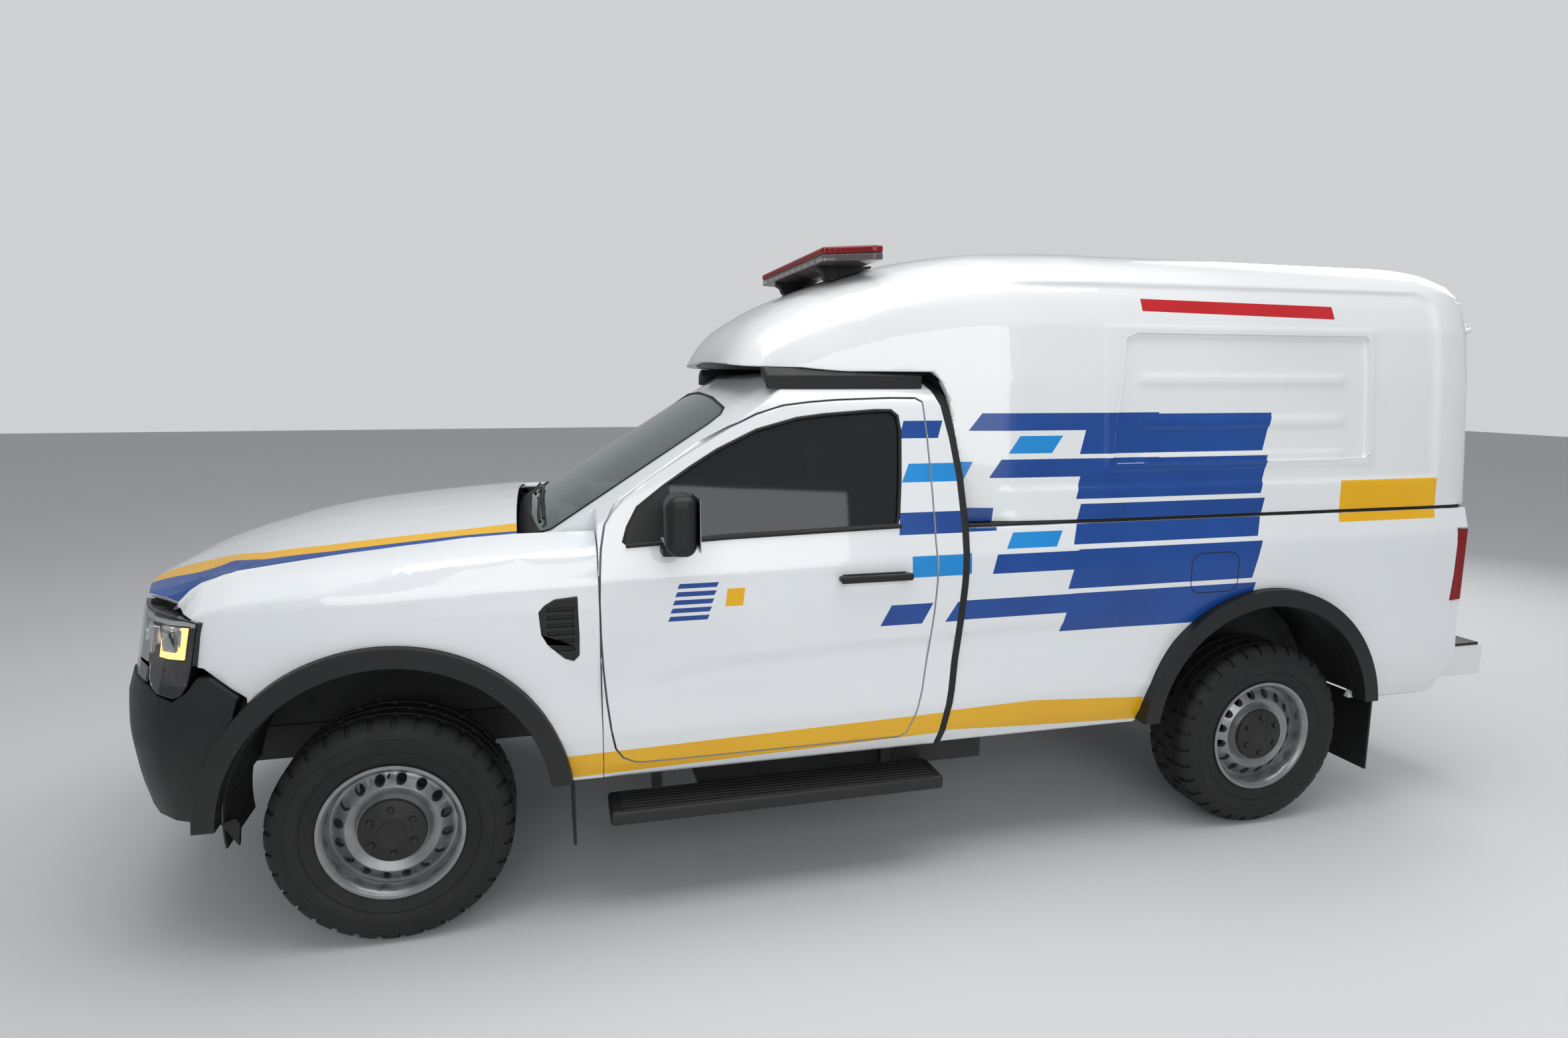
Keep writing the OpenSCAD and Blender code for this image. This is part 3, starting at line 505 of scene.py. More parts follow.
def film(piece, bands, base, plan=False):
    """Cuts the skin along each band's outline, in side view or plan, and colours the faces inside."""
    mesh = piece.data
    mesh.materials.append(FINISHES[base])
    bm = bmesh.new()
    bm.from_mesh(mesh)
    ups = [(v.co.y if plan else v.co.z) * 1000 for v in bm.verts]
    fores = [v.co.x * 1000 - FRONT_AXLE for v in bm.verts]
    for material, ring in bands:
        xs = [p[0] for p in ring]
        zs = [p[1] for p in ring]
        if max(xs) < min(fores) or min(xs) > max(fores) or max(zs) < min(ups) or min(zs) > max(ups):
            continue
        if FINISHES[material].name not in mesh.materials:
            mesh.materials.append(FINISHES[material])
        index = list(mesh.materials).index(FINISHES[material])
        skin = []
        for face in bm.faces:
            normal = face.normal
            if (normal.z if plan else abs(normal.y)) < 0.3:
                continue
            centre = face.calc_center_median()
            if not plan and normal.y * centre.y < 0:
                continue
            x, z = centre.x * 1000 - FRONT_AXLE, (centre.y if plan else centre.z) * 1000
            if min(xs) - 60 < x < max(xs) + 60 and min(zs) - 60 < z < max(zs) + 60:
                skin.append(face)
        for a, b in zip(ring, ring[1:] + ring[:1]):
            edges = {e for f in skin for e in f.edges}
            verts = {v for f in skin for v in f.verts}
            along, up = b[0] - a[0], b[1] - a[1]
            spot = at(a[0], a[1], 0) if plan else at(a[0], 0, a[1])
            normal = Vector((up, -along, 0) if plan else (up, 0, -along)).normalized()
            parts = bmesh.ops.bisect_plane(bm, geom=list(verts) + list(edges) + skin, dist=0.0001,
                                           plane_co=spot, plane_no=normal)
            skin = [g for g in parts["geom"] if isinstance(g, bmesh.types.BMFace)]
        for face in skin:
            centre = face.calc_center_median()
            if inside((centre.x * 1000 - FRONT_AXLE, (centre.y if plan else centre.z) * 1000), ring):
                face.material_index = index
    bm.to_mesh(mesh)
    bm.free()
    return piece


# creases of the body side as X and Z
LOWER_CREASE = [(-4300, 770), (-2700, 905), (-2008, 903), (-1804, 895), (-1556, 885), (-1318, 879),
                (-1088, 867), (-998, 860), (-953, 852), (-865, 823), (-777, 780), (-733, 740)]
UPPER_CREASE = [(-4300, 1176), (-2200, 1176), (-1552, 1170), (-1000, 1160), (-616, 1152), (0, 1130),
                (468, 1109)]


def side_relief(x, z):
    """A hollow under the lower crease and a low ridge along the upper one."""
    under = between(x, LOWER_CREASE) - z
    ends = ease((-715 - x) / 200) * ease((x + 2800) / 250)
    hollow = 8 * ease(under / 16) * (1 - ease((under - 16) / 150)) * ends
    ridge = 3.5 * max(0, 1 - abs(z - between(x, UPPER_CREASE)) / 34)
    return hollow - ridge


def wedge(x0, x1, z0, z1, lean):
    """A band with slanted ends."""
    return [(x0, z0), (x1, z0), (x1 + lean, z1), (x0 + lean, z1)]


# plain slanted bars in the colours and at the size of the pictured graphics
BANDS = [
    ("blue_film", wedge(-1870, -1721, 1587, 1648, -24)),
    ("light_blue_film", wedge(-1972, -1717, 1436, 1500, -32)),
    ("blue_film", wedge(-2066, -1690, 1259, 1334, -10)),
    ("light_blue_film", wedge(-1962, -1732, 1112, 1186, 0)),
    ("blue_film", wedge(-1773, -1617, 945, 1018, -40)),
    ("blue_film", wedge(-2700, -1989, 1611, 1674, -48)),
    ("blue_film", wedge(-2700, -2060, 1442, 1508, -44)),
    ("blue_film", wedge(-2700, -2043, 1107, 1176, -20)),
    ("blue_film", wedge(-2700, -1861, 945, 1016, -46)),
    ("light_blue_film", wedge(-2300, -2130, 1529, 1592, -44)),
    ("light_blue_film", wedge(-2300, -2100, 1194, 1250, -30)),
    ("yellow_film", wedge(-4040, -3560, 1236, 1400, -10)),
]
BANDS += [("blue_film", wedge(-3130 - 20 * i, -2330 - 20 * i, 872 + 163 * i, 1017 + 163 * i, -40))
          for i in range(5)]
RED_BAND = ("red_film", [(-3545, 2030), (-2677, 2046), (-2674, 2092), (-3540, 2080)])
SILL_BANDS = [
    ("yellow_film", [(-541, 492), (-541, 577), (-1909, 610), (-1909, 530)]),
    ("yellow_film", [(-1909, 530), (-1909, 610), (-2227, 619), (-2227, 514)]),
    ("yellow_film", [(-2227, 514), (-2227, 619), (-2700, 591), (-2700, 494)]),
]
# small mark of plain bars low on the door
DOOR_BARS = [("blue_film", wedge(-1010 - 8 * i, -880 - 8 * i, 1010 + 27 * i, 1026 + 27 * i, -8))
             for i in range(5)]
DOOR_BARS += [("yellow_film", wedge(-1130, -1070, 1050, 1110, -8))]
BANDS += SILL_BANDS + DOOR_BARS

# bonnet stripes in plan: inner edge, boundary between the colours, shut line
STRIPE_INNER = [(-425, 641), (-242, 660), (-33, 652), (171, 642), (381, 592), (646, 381), (830, 270)]
STRIPE_MIDDLE = [(-425, 729), (-247, 723), (-42, 717), (157, 711), (359, 676), (597, 533), (830, 385)]
STRIPE_OUTER = [(x, 780) for x, _ in STRIPE_MIDDLE]


def ribbon(material, inner, outer, side):
    """Four-sided pieces between two lines in plan."""
    return [(material, [(x, side * y) for x, y in (a, b, d, c)])
            for a, b, c, d in zip(inner, inner[1:], outer, outer[1:])]


# camera

bpy.ops.object.camera_add(location=(1.245, 3.851, 1.7995),
                          rotation=[math.radians(a) for a in (81.214, -0.148, 165.56)])
camera = bpy.context.object
camera.data.lens = 21.05
camera.data.sensor_width = 36
bpy.context.scene.view_settings.view_transform = "Standard"
bpy.context.scene.camera = camera

# every node takes the finish of its slot; some are replaced below

for entry in frame["record"]["subparts"]:
    mesh = nodes[entry["node"]].data
    mesh.materials.clear()
    mesh.materials.append(FINISHES[entry["material_slot"]])
nodes["windscreen"].data.materials[0] = FINISHES["windscreen_glass"]

# body panels

# capsule skin: pressed panel, frame and ribs of the blank window
CONTOUR_TOP, CONTOUR_LOW = 2150, 1392
RIBS = (1794, 1635, 1500)
CAPSULE_X = [-4078, -4050, -4043, -4035, -4028, -3750, -3738, -3731, -3724, -3610, -3600, -3590, -3570,
             -2685, -2655, -2645, -2522, -2515, -2508, -2496, -2090, -2075]
CAPSULE_Z = [z + d for z in RIBS for d in (-26, -20, -14, 14, 20, 26)]
CAPSULE_Z += [1380, 1392, 1399, 1407, 1414, 1452, 1459, 1466, 1986, 1993, 2000, 2134, 2142, 2150]


def capsule_relief(x, z):
    """How far the capsule side is pressed in: a recessed panel with a raised frame and ribs in it."""
    front = ease((-2075 - x) / 260)
    corner = max(0, -3960 - x) / 100
    top = CONTOUR_TOP - 70 * corner * corner
    panel_in = ease((top - z) / 16) * ease((x + 4050) / 22) * ease((z - CONTOUR_LOW) / 22) * front
    relief = 11 * panel_in
    # raised frame round the recess
    frame_in = ease((x + 3738) / 14) * ease((-2508 - x) / 14) * ease((z - 1452) / 14) * ease((2000 - z) / 14)
    relief -= 4 * frame_in
    for rib in RIBS:
        length = ease((x + 3600) / 30) * ease((-2655 - x) / 30)
        relief -= 7 * length * ease((26 - abs(z - rib)) / 12)
    return relief


# node, body, planes of the grid, smoothing passes
PANELS = (
    ("cab_shell", "vehicle",
     (("x", steps(-1900, -600, 60)), ("z", steps(500, 1815, 30)), ("y", steps(-840, 840, 80))), 6),
    ("load_bed", "vehicle", (("x", steps(-4190, -1900, 60)), ("z", steps(495, 1265, 24))), 5),
    ("wing_left", "vehicle", (("x", steps(-650, 578, 36)), ("z", steps(490, 1280, 24))), 10),
    ("door_left", "front_door_left", (("x", steps(-1815, -675, 42)), ("z", steps(545, 1715, 22))), 4),
    ("capsule_shell", "vehicle",
     (("x", steps(-4235, -1160, 60) + CAPSULE_X), ("z", steps(1300, 2300, 24) + CAPSULE_Z),
      ("y", steps(-840, 840, 70))), 12),
    ("bonnet", "bonnet", (("x", steps(-395, 825, 40)), ("y", steps(-735, 735, 35))), 14),
    ("front_bumper", "vehicle",
     (("x", steps(390, 900, 40)), ("z", steps(470, 905, 24)), ("y", steps(-900, 900, 50))), 10),
    ("rear_door_left", "back_door_left", (), 0),
    ("rear_door_right", "back_door_right", (), 0),
    *((node, "vehicle", (), 0)
      for node in ("arch_flares", "gap_seal", "cowl_panel", "wing_vents", "dashboard")),
    ("steering_wheel", "steering_wheel", (), 0),
    *((node, "vehicle", (), 0) for node in ("side_steps", "rear_bumper", "mud_flaps", "grille")),
)
# radius of the rounded edges, 2 where none is given
EDGE = {"bonnet": 3.0, "capsule_shell": 6.0, "arch_flares": 5.0, "gap_seal": 5.0, "cowl_panel": 2.5,
        "dashboard": 12.0, "side_steps": 12.0, "rear_bumper": 12.0, "front_bumper": 4.0, "grille": 2.0,
        "wing_vents": 2.5, "steering_wheel": 4.0, "cab_shell": 2.0}

slots = {entry["node"]: entry["material_slot"] for entry in frame["record"]["subparts"]}
panels = {}
for node, body, cuts, passes in PANELS:
    piece = panel(node, node + "_skin", cuts, passes, EDGE.get(node, 2.0))
    if node == "capsule_shell":
        press(piece, capsule_relief, 0.5)
        film(piece, BANDS + [RED_BAND], slots[node])
    elif node == "bonnet":
        stripes = []
        for side in (1, -1):
            stripes += ribbon("yellow_film", STRIPE_INNER, STRIPE_MIDDLE, side)
            stripes += ribbon("blue_film", STRIPE_MIDDLE, STRIPE_OUTER, side)
        film(piece, stripes, slots[node], plan=True)
    elif node in ("door_left", "cab_shell", "load_bed", "wing_left"):
        press(piece, side_relief)
        film(piece, BANDS, slots[node])
    smooth(piece, 33)
    if node.endswith("_left") and cuts:
        twin = across(piece, node.replace("left", "right") + "_skin")
        put(twin, body.replace("left", "right"), slots[node], None, [node.replace("left", "right")])
    put(piece, body, slots[node], "gloss_black" if node == "grille" else None, [node])
    panels[node] = piece

# wheels

TREAD = 374
# tyre section as radius and distance from the middle plane
SHOULDER = [(205, 98), (222, 104), (250, 116), (264, 120.5), (268, 118.5), (272, 122), (292, 126.8),
            (308, 126.8), (312, 124.5), (316, 126), (328, 122.6), (344, 115), (352, 111), (367, 97),
            (373, 84)]
GROOVES = (-54, 0, 54)
TREAD_STEPS = 132


def tyre_profile():
    near = [(r, -y) for r, y in SHOULDER]
    ribs = []
    for y in GROOVES:
        ribs += [(TREAD, y - 5), (TREAD - 8, y - 3), (TREAD - 8, y + 3), (TREAD, y + 5)]
    return near + ribs + [(r, y) for r, y in reversed(SHOULDER)]


def tread_gap(centre, _):
    """True for the faces that lie in a cross groove."""
    radius = math.hypot(centre.x, centre.z - AXLE_Z)
    turn = int((math.atan2(centre.x, centre.z - AXLE_Z) + math.pi) / math.tau * TREAD_STEPS)
    off = abs(centre.y - WHEEL_Y)
    if off > 86:
        return radius > 346 and turn % 4 == 0
    if off > 60:
        return radius > 360 and turn % 4 == 0
    return radius > 370 and turn % 6 == (2 if centre.y > WHEEL_Y else 5)


tyre = lathe("tyre", tyre_profile(), (0, WHEEL_Y, AXLE_Z), TREAD_STEPS)
pick(tyre, tread_gap)
bpy.ops.mesh.extrude_region_move()
bpy.ops.transform.shrink_fatten(value=-0.007)
done()
smooth(tyre, 28, False)

CAP = [(0, 107), (41, 107), (60, 99), (82, 96), (101, 92), (105, 86), (105, 90), (101, 97), (84, 103.5),
       (60, 108), (52, 112), (45, 112), (42, 109.5), (30, 109), (0, 110)]
NUT_CIRCLE = 74


def wheel_cap():
    cap = lathe("wheel_cap", CAP, (0, WHEEL_Y, AXLE_Z), 72)
    nuts = []
    for i in range(6):
        angle = math.tau * i / 6
        place = (NUT_CIRCLE * math.sin(angle), WHEEL_Y + 101, AXLE_Z + NUT_CIRCLE * math.cos(angle))
        nuts.append(lathe("wheel_nut", [(0, 0), (11.5, 0), (11.5, 10), (8.5, 13.5), (0, 13.5)], place, 6))
    for nut in nuts:
        smooth(nut, 20, False)
    return joined([cap] + nuts, "wheel_cap")


def valve():
    foot = at(0, WHEEL_Y + 86, AXLE_Z + 186)
    return tube("tyre_valve", [foot, foot + Vector((0, 0.022, -0.004))], 3.6)


cap = wheel_cap()
stem = valve()
WHEEL_PARTS = ((tyre, "tyre_black"), (cap, "black_plastic"), (stem, "black_rubber"))
for axle, x in (("front", 0), ("rear", REAR_X)):
    for part, slot in WHEEL_PARTS:
        left = copied(part, f"{part.name}_{axle}_left", lambda p: Vector((p.x + x / 1000, p.y, p.z)))
        right = across(left, f"{part.name}_{axle}_right")
        for item, side in ((left, "left"), (right, "right")):
            put(item, f"wheel_{axle}_{side}", slot, None, [f"tyre_{axle}_{side}"] if part is tyre else ())
for part, _ in WHEEL_PARTS:
    bpy.data.objects.remove(part)
for axle in ("front", "rear"):
    for side in ("left", "right"):
        node = f"rim_{axle}_{side}"
        put(panel(node, node + "_steel", (), 0, 1.2), f"wheel_{axle}_{side}", "wheel_silver", None, [node])
        smooth(bpy.data.objects[node + "_steel"], 30)

# nose surface, as a plan curve that follows the height

# foremost X by height, the plan as station, set-back and half width, and the side's half width by height
NOSE_X = [(380, 850), (460, 884), (550, 905), (700, 920), (800, 915), (880, 890), (950, 870), (1050, 850),
          (1150, 826)]
NOSE_PLAN = [(0, 0, 0), (1, 12, 200), (2, 46, 400), (3, 104, 600), (4, 146, 705), (5, 196, 790),
             (6, 262, 858), (7, 352, 905), (8, 500, 932)]
SIDE_Y = [(480, 905), (535, 930), (640, 945), (800, 934), (900, 938), (1000, 944), (1130, 945), (1200, 934),
          (1280, 912), (1500, 842), (1700, 778), (1740, 755), (1775, 715), (1800, 655)]


def nose(u, z, depth):
    """A point on the nose: u counts stations from the middle to the side, depth is taken inwards."""
    lean = (1, 0.3) if u < 5 else (0.6, 0.8) if u < 7 else (0.2, 1)
    x = between(z, NOSE_X) - between(u, [(a, b) for a, b, _ in NOSE_PLAN])
    y = between(u, [(a, c) for a, _, c in NOSE_PLAN]) * between(max(z, 535), SIDE_Y) / 945
    return at(x - depth * lean[0], y - depth * lean[1] * min(1, u / 3), z)


def nose_patch(name, u0, u1, z0, z1, depth, wall, columns=24, rows=12, trim=None):
    """A curved sheet on the nose; trim(u, z) can move a point's u and z."""
    deselect()
    bpy.ops.mesh.primitive_grid_add(x_subdivisions=columns, y_subdivisions=rows, size=2)
    piece = bpy.context.object
    piece.name = name
    for vertex in piece.data.vertices:
        u = u0 + (u1 - u0) * (vertex.co.x + 1) / 2
        z = z0 + (z1 - z0) * (vertex.co.y + 1) / 2
        if trim:
            u, z = trim(u, z)
        vertex.co = nose(u, z, depth)
    activate(piece)
    bpy.ops.object.mode_set(mode="EDIT")
    bpy.ops.mesh.select_all(action="SELECT")
    bpy.ops.mesh.normals_make_consistent(inside=False)
    done()
    if sum(f.normal.x for f in piece.data.polygons) < 0:
        piece.data.flip_normals()
    if wall:
        use(piece, "SOLIDIFY", thickness=wall / 1000, offset=-1)
    return smooth(piece, 40, False)


# headlamps: clear cover over a black tray with a lit bowl, light strips and a lower reflector

# edges of the lamp as station and Z
LAMP_ENDS = (2.9, 6.95)
LAMP_LOW = [(2.9, 936), (5.15, 948), (5.35, 892), (5.6, 874), (5.95, 862), (6.55, 852), (6.8, 862),
            (6.97, 900)]
LAMP_HIGH = [(2.9, 1097), (5.2, 1097), (6.0, 1094), (6.97, 1080)]


def in_lamp(u, share):
    """Share 0 lies on the lamp's lower edge and 1 on its upper edge."""
    low, high = between(u, LAMP_LOW), between(u, LAMP_HIGH)
    return u, low + (high - low) * share


both(nose_patch("headlamp_cover", *LAMP_ENDS, 0, 1, 2, 2.5, 60, 16, in_lamp), "vehicle", "lamp_clear", None,
     ["headlamps"])
tray = nose_patch("headlamp_tray", *LAMP_ENDS, 0, 1, 5, 0, 60, 16, in_lamp)
front_faces = len(tray.data.polygons)
use(tray, "SOLIDIFY", thickness=0.055, offset=-1)
mesh = bmesh.new()
mesh.from_mesh(tray.data)
mesh.faces.ensure_lookup_table()
bmesh.ops.delete(mesh, geom=mesh.faces[:front_faces], context="FACES")
mesh.to_mesh(tray.data)
mesh.free()
use(tray, "SOLIDIFY", thickness=0.003, offset=0)
both(smooth(tray, 40, False), "vehicle", "black_plastic", "gloss_black")
STRIPS = (("light_strip_top", 3.1, 6.85, 1070, 1084), ("light_strip_side", 4.95, 5.1, 975, 1050),
          ("light_strip_inner", 3.1, 3.25, 975, 1050))
for name, u0, u1, z0, z1 in STRIPS:
    both(nose_patch(name, u0, u1, z0, z1, 9, 8, 24, 2), "vehicle", "lamp_clear", "strip_white")
both(nose_patch("headlamp_end_trim", 6.72, 6.9, 905, 1066, 9, 8, 4, 10), "vehicle", "black_plastic",
     "gloss_black")
both(nose_patch("grille_wing_trim", 2.9, 5.2, 884, 930, 6, 30, 24, 4), "vehicle", "black_plastic",
     "gloss_black")


def lamp_bowl(name, u, z, half_w, half_h, lit):
    """A rounded square bowl in a bright bezel, facing out of the nose."""
    place = nose(u, z, 38)
    ahead = (nose(u, z, 0) - nose(u, z, 20)).normalized()
    deselect()
    bpy.ops.mesh.primitive_cube_add(size=2)
    bowl = bpy.context.object
    bowl.name = name
    bowl.scale = (half_w / 1000, half_h / 1000, 0.02)
    activate(bowl)
    bpy.ops.object.transform_apply(scale=True)
    use(bowl, "BEVEL", width=0.012, segments=5)
    turn = ahead.to_track_quat("Z", "Y").to_matrix().to_4x4()
    bowl.data.transform(Matrix.Translation(place) @ turn)
    pick(bowl, lambda c, n: n.dot(ahead) > 0.9)
    bpy.ops.mesh.inset(thickness=0.006)
    bpy.ops.mesh.extrude_region_move()
    bpy.ops.transform.shrink_fatten(value=-0.014)
    done()
    bowl.data.materials.append(FINISHES["reflector"])
    bowl.data.materials.append(FINISHES["lamp_lit" if lit else "reflector"])
    for face in bowl.data.polygons:
        if face.normal.dot(ahead) > 0.9 and (face.center - place).dot(ahead) < 0.012:
            face.material_index = 1
    return smooth(bowl, 40, False)


both(lamp_bowl("headlamp_low_beam", 6.0, 1018, 44, 48, True), "vehicle", "lamp_clear")
both(lamp_bowl("headlamp_high_beam", 4.1, 1014, 42, 36, False), "vehicle", "lamp_clear")
both(nose_patch("headlamp_lower_reflector", 5.5, 6.7, 880, 952, 26, 8, 24, 8), "vehicle", "black_plastic",
     "smoked_metal")

# warm glow in front of the lit bowl
both(nose_patch("headlamp_glow", 5.5, 6.55, 966, 1062, 14, 5, 16, 10), "vehicle", "lamp_clear", "lamp_lit")

# door handles: a black bar over a low plate

def door_handle(name, x0, x1, z):
    hit = between(z, SIDE_Y)
    base = block(name + "_base", (x0 + 14, hit - 3, z - 13), (x1 - 14, hit + 4, z + 13), 6, 3)
    ends = [block(name + "_leg", (x, hit, z - 10), (x + 34, hit + 30, z + 10), 7, 3) for x in (x0, x1 - 34)]
    bar = block(name + "_bar", (x0, hit + 22, z - 13), (x1, hit + 40, z + 13), 8, 4)
    return joined([bar, base] + ends, name)


both(door_handle("door_handle", -1722, -1462, 1124), FRONT_DOORS, "black_plastic")

# gaskets round the side windows

WINDOW = [(-745, 1275), (-760, 1319), (-795, 1380), (-884, 1445), (-976, 1504), (-1069, 1558), (-1115, 1579),
          (-1210, 1622), (-1353, 1659), (-1450, 1671), (-1640, 1684), (-1700, 1684), (-1723, 1665),
          (-1728, 1610), (-1712, 1450), (-1693, 1318), (-1684, 1294), (-1094, 1281), (-760, 1264)]
BELT = [(-752, 1262), (-1094, 1276), (-1700, 1290)]


def on_side(points, out=0.0):
    return [at(x, between(z, SIDE_Y) + out, z) for x, z in points]


both(tube("window_gasket", on_side(WINDOW, -3), 6.5, True), FRONT_DOORS, "black_rubber")
both(tube("window_belt", on_side(BELT, 1), 8), FRONT_DOORS, "black_rubber")
SAIL = [(-748, 1268), (-762, 1322), (-798, 1384), (-900, 1458), (-912, 1272)]
sail = plate("mirror_sail", SAIL, 870, 876, 1.5)
for vertex in sail.data.vertices:
    vertex.co.y += (between(vertex.co.z * 1000, SIDE_Y) - 873) / 1000
both(sail, FRONT_DOORS, "black_plastic")

# mirrors

def mirror_shell():
    """A rounded case, narrower ahead and towards the door."""
    shell = block("mirror_shell", (-955, 948, 1258), (-858, 1163, 1447), 34, 6)
    for vertex in shell.data.vertices:
        ahead = (vertex.co.x * 1000 - FRONT_AXLE + 906) / 50
        low = (1352 - vertex.co.z * 1000) / 95
        out = (vertex.co.y * 1000 - 1055) / 108
        pinch = 1 - 0.16 * max(0, ahead) ** 2
        vertex.co.z = (1352 + (vertex.co.z * 1000 - 1352) * pinch * (1 - 0.10 * max(0, -out))) / 1000
        narrow = 1 - 0.10 * max(0, ahead) - 0.07 * max(0, low)
        vertex.co.y = (1055 + (vertex.co.y * 1000 - 1055) * narrow) / 1000
        vertex.co.x += 8 * out / 1000
    return smooth(shell, 60)


both(mirror_shell(), FRONT_DOORS, "black_plastic", None, [("mirror_left", "mirror_right")])
both(block("mirror_pane", (-960, 962, 1272), (-955.5, 1150, 1434), 2), FRONT_DOORS,
     "black_plastic", "mirror_silver")
both(block("mirror_strip", (-870, 985, 1290), (-855.5, 1110, 1299), 3), FRONT_DOORS,
     "lamp_clear", "strip_white")
mirror_foot = [(-900, 1236), (-905, 1262), (-880, 1272), (-860, 1262), (-858, 1238)]
both(plate("mirror_arm", mirror_foot, 926, 1010, 6), FRONT_DOORS, "black_plastic")

# roof light bar

BAR = [(-1530, -488), (-1700, -590), (-1735, -590), (-1735, 590), (-1700, 590), (-1530, 488)]


def bar_slab(name, low, high, inset, edge):
    middle = sum(x for x, _ in BAR) / len(BAR)
    points = []
    for x, y in BAR:
        points.append(at(x - inset if x > middle else x + inset, y - math.copysign(inset, y), low))
    return bevelled(thicken(outline(name, points), (0, 0, high - low)), edge, 4)


put(bar_slab("light_bar_upper_lens", 2252, 2278, 0, 9), "vehicle", "lamp_red", None, ["light_bar"])
put(bar_slab("light_bar_lower_lens", 2226, 2250.5, 1, 5), "vehicle", "lamp_red", "lamp_smoke")
put(bar_slab("light_bar_tray", 2249, 2253.5, 4, 1), "vehicle", "black_plastic")
ridges = []
for i in range(57):
    y = -476 + 17 * i
    ridges.append(block("light_bar_ridge", (-1532.5, y - 3, 2255), (-1528.6, y + 3, 2272), 1.2, 1))
for side in (-1, 1):
    for i in range(10):
        t = (i + 0.5) / 10
        x, y = -1530 - 170 * t, side * (488 + 102 * t)
        ridges.append(block("light_bar_ridge", (x - 3, y - 2, 2255), (x + 3, y + 1.4, 2272), 1.2, 1))
put(joined(ridges, "light_bar_ridges"), "vehicle", "lamp_red")
lights = [block("light_bar_module", (-1600, -470 + 95 * i, 2231), (-1552, -400 + 95 * i, 2246), 3)
          for i in range(10)]
put(joined(lights, "light_bar_modules"), "vehicle", "lamp_clear", "reflector")

ARM = [(-1556, 2226), (-1556, 2212), (-1590, 2188), (-1640, 2180), (-1690, 2196), (-1772, 2222),
       (-1776, 2231), (-1700, 2228)]
both(plate("light_bar_arm", ARM, 306, 352, 4), "vehicle", "black_plastic", None, ["light_bar_brackets"])
both(lathe("light_bar_joint", [(0, 0), (34, 0), (34, 46), (28, 52), (0, 52)], (-1612, 303, 2200), 40),
     "vehicle", "black_plastic")


def rounded(x0, x1, z0, z1, r, count=6):
    """A rectangle with round corners, as points."""
    corners = ((x1 - r, z1 - r, 0), (x0 + r, z1 - r, 90), (x0 + r, z0 + r, 180), (x1 - r, z0 + r, 270))
    points = []
    for cx, cz, start in corners:
        for i in range(count + 1):
            a = math.radians(start + 90 * i / count)
            points.append((cx + r * math.cos(a), cz + r * math.sin(a)))
    return points


# rear doors: window seals and handles

ring = [at(-4249, y, z) for y, z in rounded(128, 632, 1418, 1902, 40)]
both(tube("rear_window_gasket", ring, 6, True), BACK_DOORS, "black_rubber")
handle = [block("rear_handle_plate", (-4254, 24, 1120), (-4247, 74, 1280), 3, 2),
          block("rear_handle_grip", (-4276, 34, 1150), (-4252, 58, 1250), 8, 3)]
both(joined(handle, "rear_handle"), BACK_DOORS, "black_plastic")

# rear bumper pads, running board ribs

both(block("bumper_step_pad", (-4420, 560, 655), (-4232, 862, 668), 5), "vehicle", "black_plastic")
ribs = [block("board_rib", (-1830, 812 + 22 * i, 374), (-715, 822 + 22 * i, 381), 2, 1) for i in range(7)]
both(joined(ribs, "board_ribs"), "vehicle", "black_rubber")

# fuel flap: its seam

bed_side = surface(panels["load_bed"])


def on_bed(points, out):
    spots = []
    for x, z in points:
        hit = bed_side.ray_cast(at(x, 1300, z), Vector((0, -1, 0)))[0]
        spots.append(hit + Vector((0, out / 1000, 0)) if hit else at(x, between(z, SIDE_Y) - 12 + out, z))
    return spots


seam = on_bed(rounded(-3084, -2874, 988, 1142, 42), -0.6)
put(tube("fuel_flap_seam", seam, 2.0, True), "vehicle", "black_rubber")

# wipers

SCREEN_TILT = math.radians(31.5)
SCREEN_R = 4320
SCREEN_X, SCREEN_Z = -766, 1502


def on_screen(y, up, out):
    """A point on the windscreen: y across, up along the glass from its middle, out from the drum."""
    inner = math.sqrt(SCREEN_R ** 2 - y * y) - SCREEN_R + out - 2
    return at(SCREEN_X + inner * math.sin(SCREEN_TILT) - up * math.cos(SCREEN_TILT), y,
              SCREEN_Z + inner * math.cos(SCREEN_TILT) + up * math.sin(SCREEN_TILT))


for name, pivot, tip in (("wiper_left", 560, -60), ("wiper_right", 10, -580)):
    arm = [on_screen(pivot, -348, 10), on_screen(pivot - 40, -342, 22),
           on_screen((pivot + tip) / 2, -328, 18)]
    blade = [on_screen(pivot - 30, -334, 7), on_screen((pivot + tip) / 2, -324, 7),
             on_screen(tip, -314, 7)]
    wiper = joined([tube(name + "_arm", arm, 6), tube(name + "_blade", blade, 5)], name)
    put(wiper, "vehicle", "black_plastic")

# gasket round the windscreen
edge_line = [(-646, -360), (-560, -371), (-300, -384), (0, -386), (300, -384), (560, -371), (646, -360),
             (686, -320), (632, 330), (612, 388), (560, 418), (300, 438), (0, 444), (-300, 438), (-560, 418),
             (-612, 388), (-632, 330), (-686, -320)]
put(tube("windscreen_gasket", [on_screen(y, up, 1) for y, up in edge_line], 6, True), "vehicle",
    "black_rubber")

# wheel arches: inner walls, the foot and apron of the front arch and a rubber deflector

ARCH_Z = 434


def arc(x, r, start, stop, count=24):
    """Points of an arch circle, angles from straight up towards the nose."""
    turns = [math.radians(start + (stop - start) * i / count) for i in range(count + 1)]
    return [(x + r * math.sin(a), ARCH_Z + r * math.cos(a)) for a in turns]


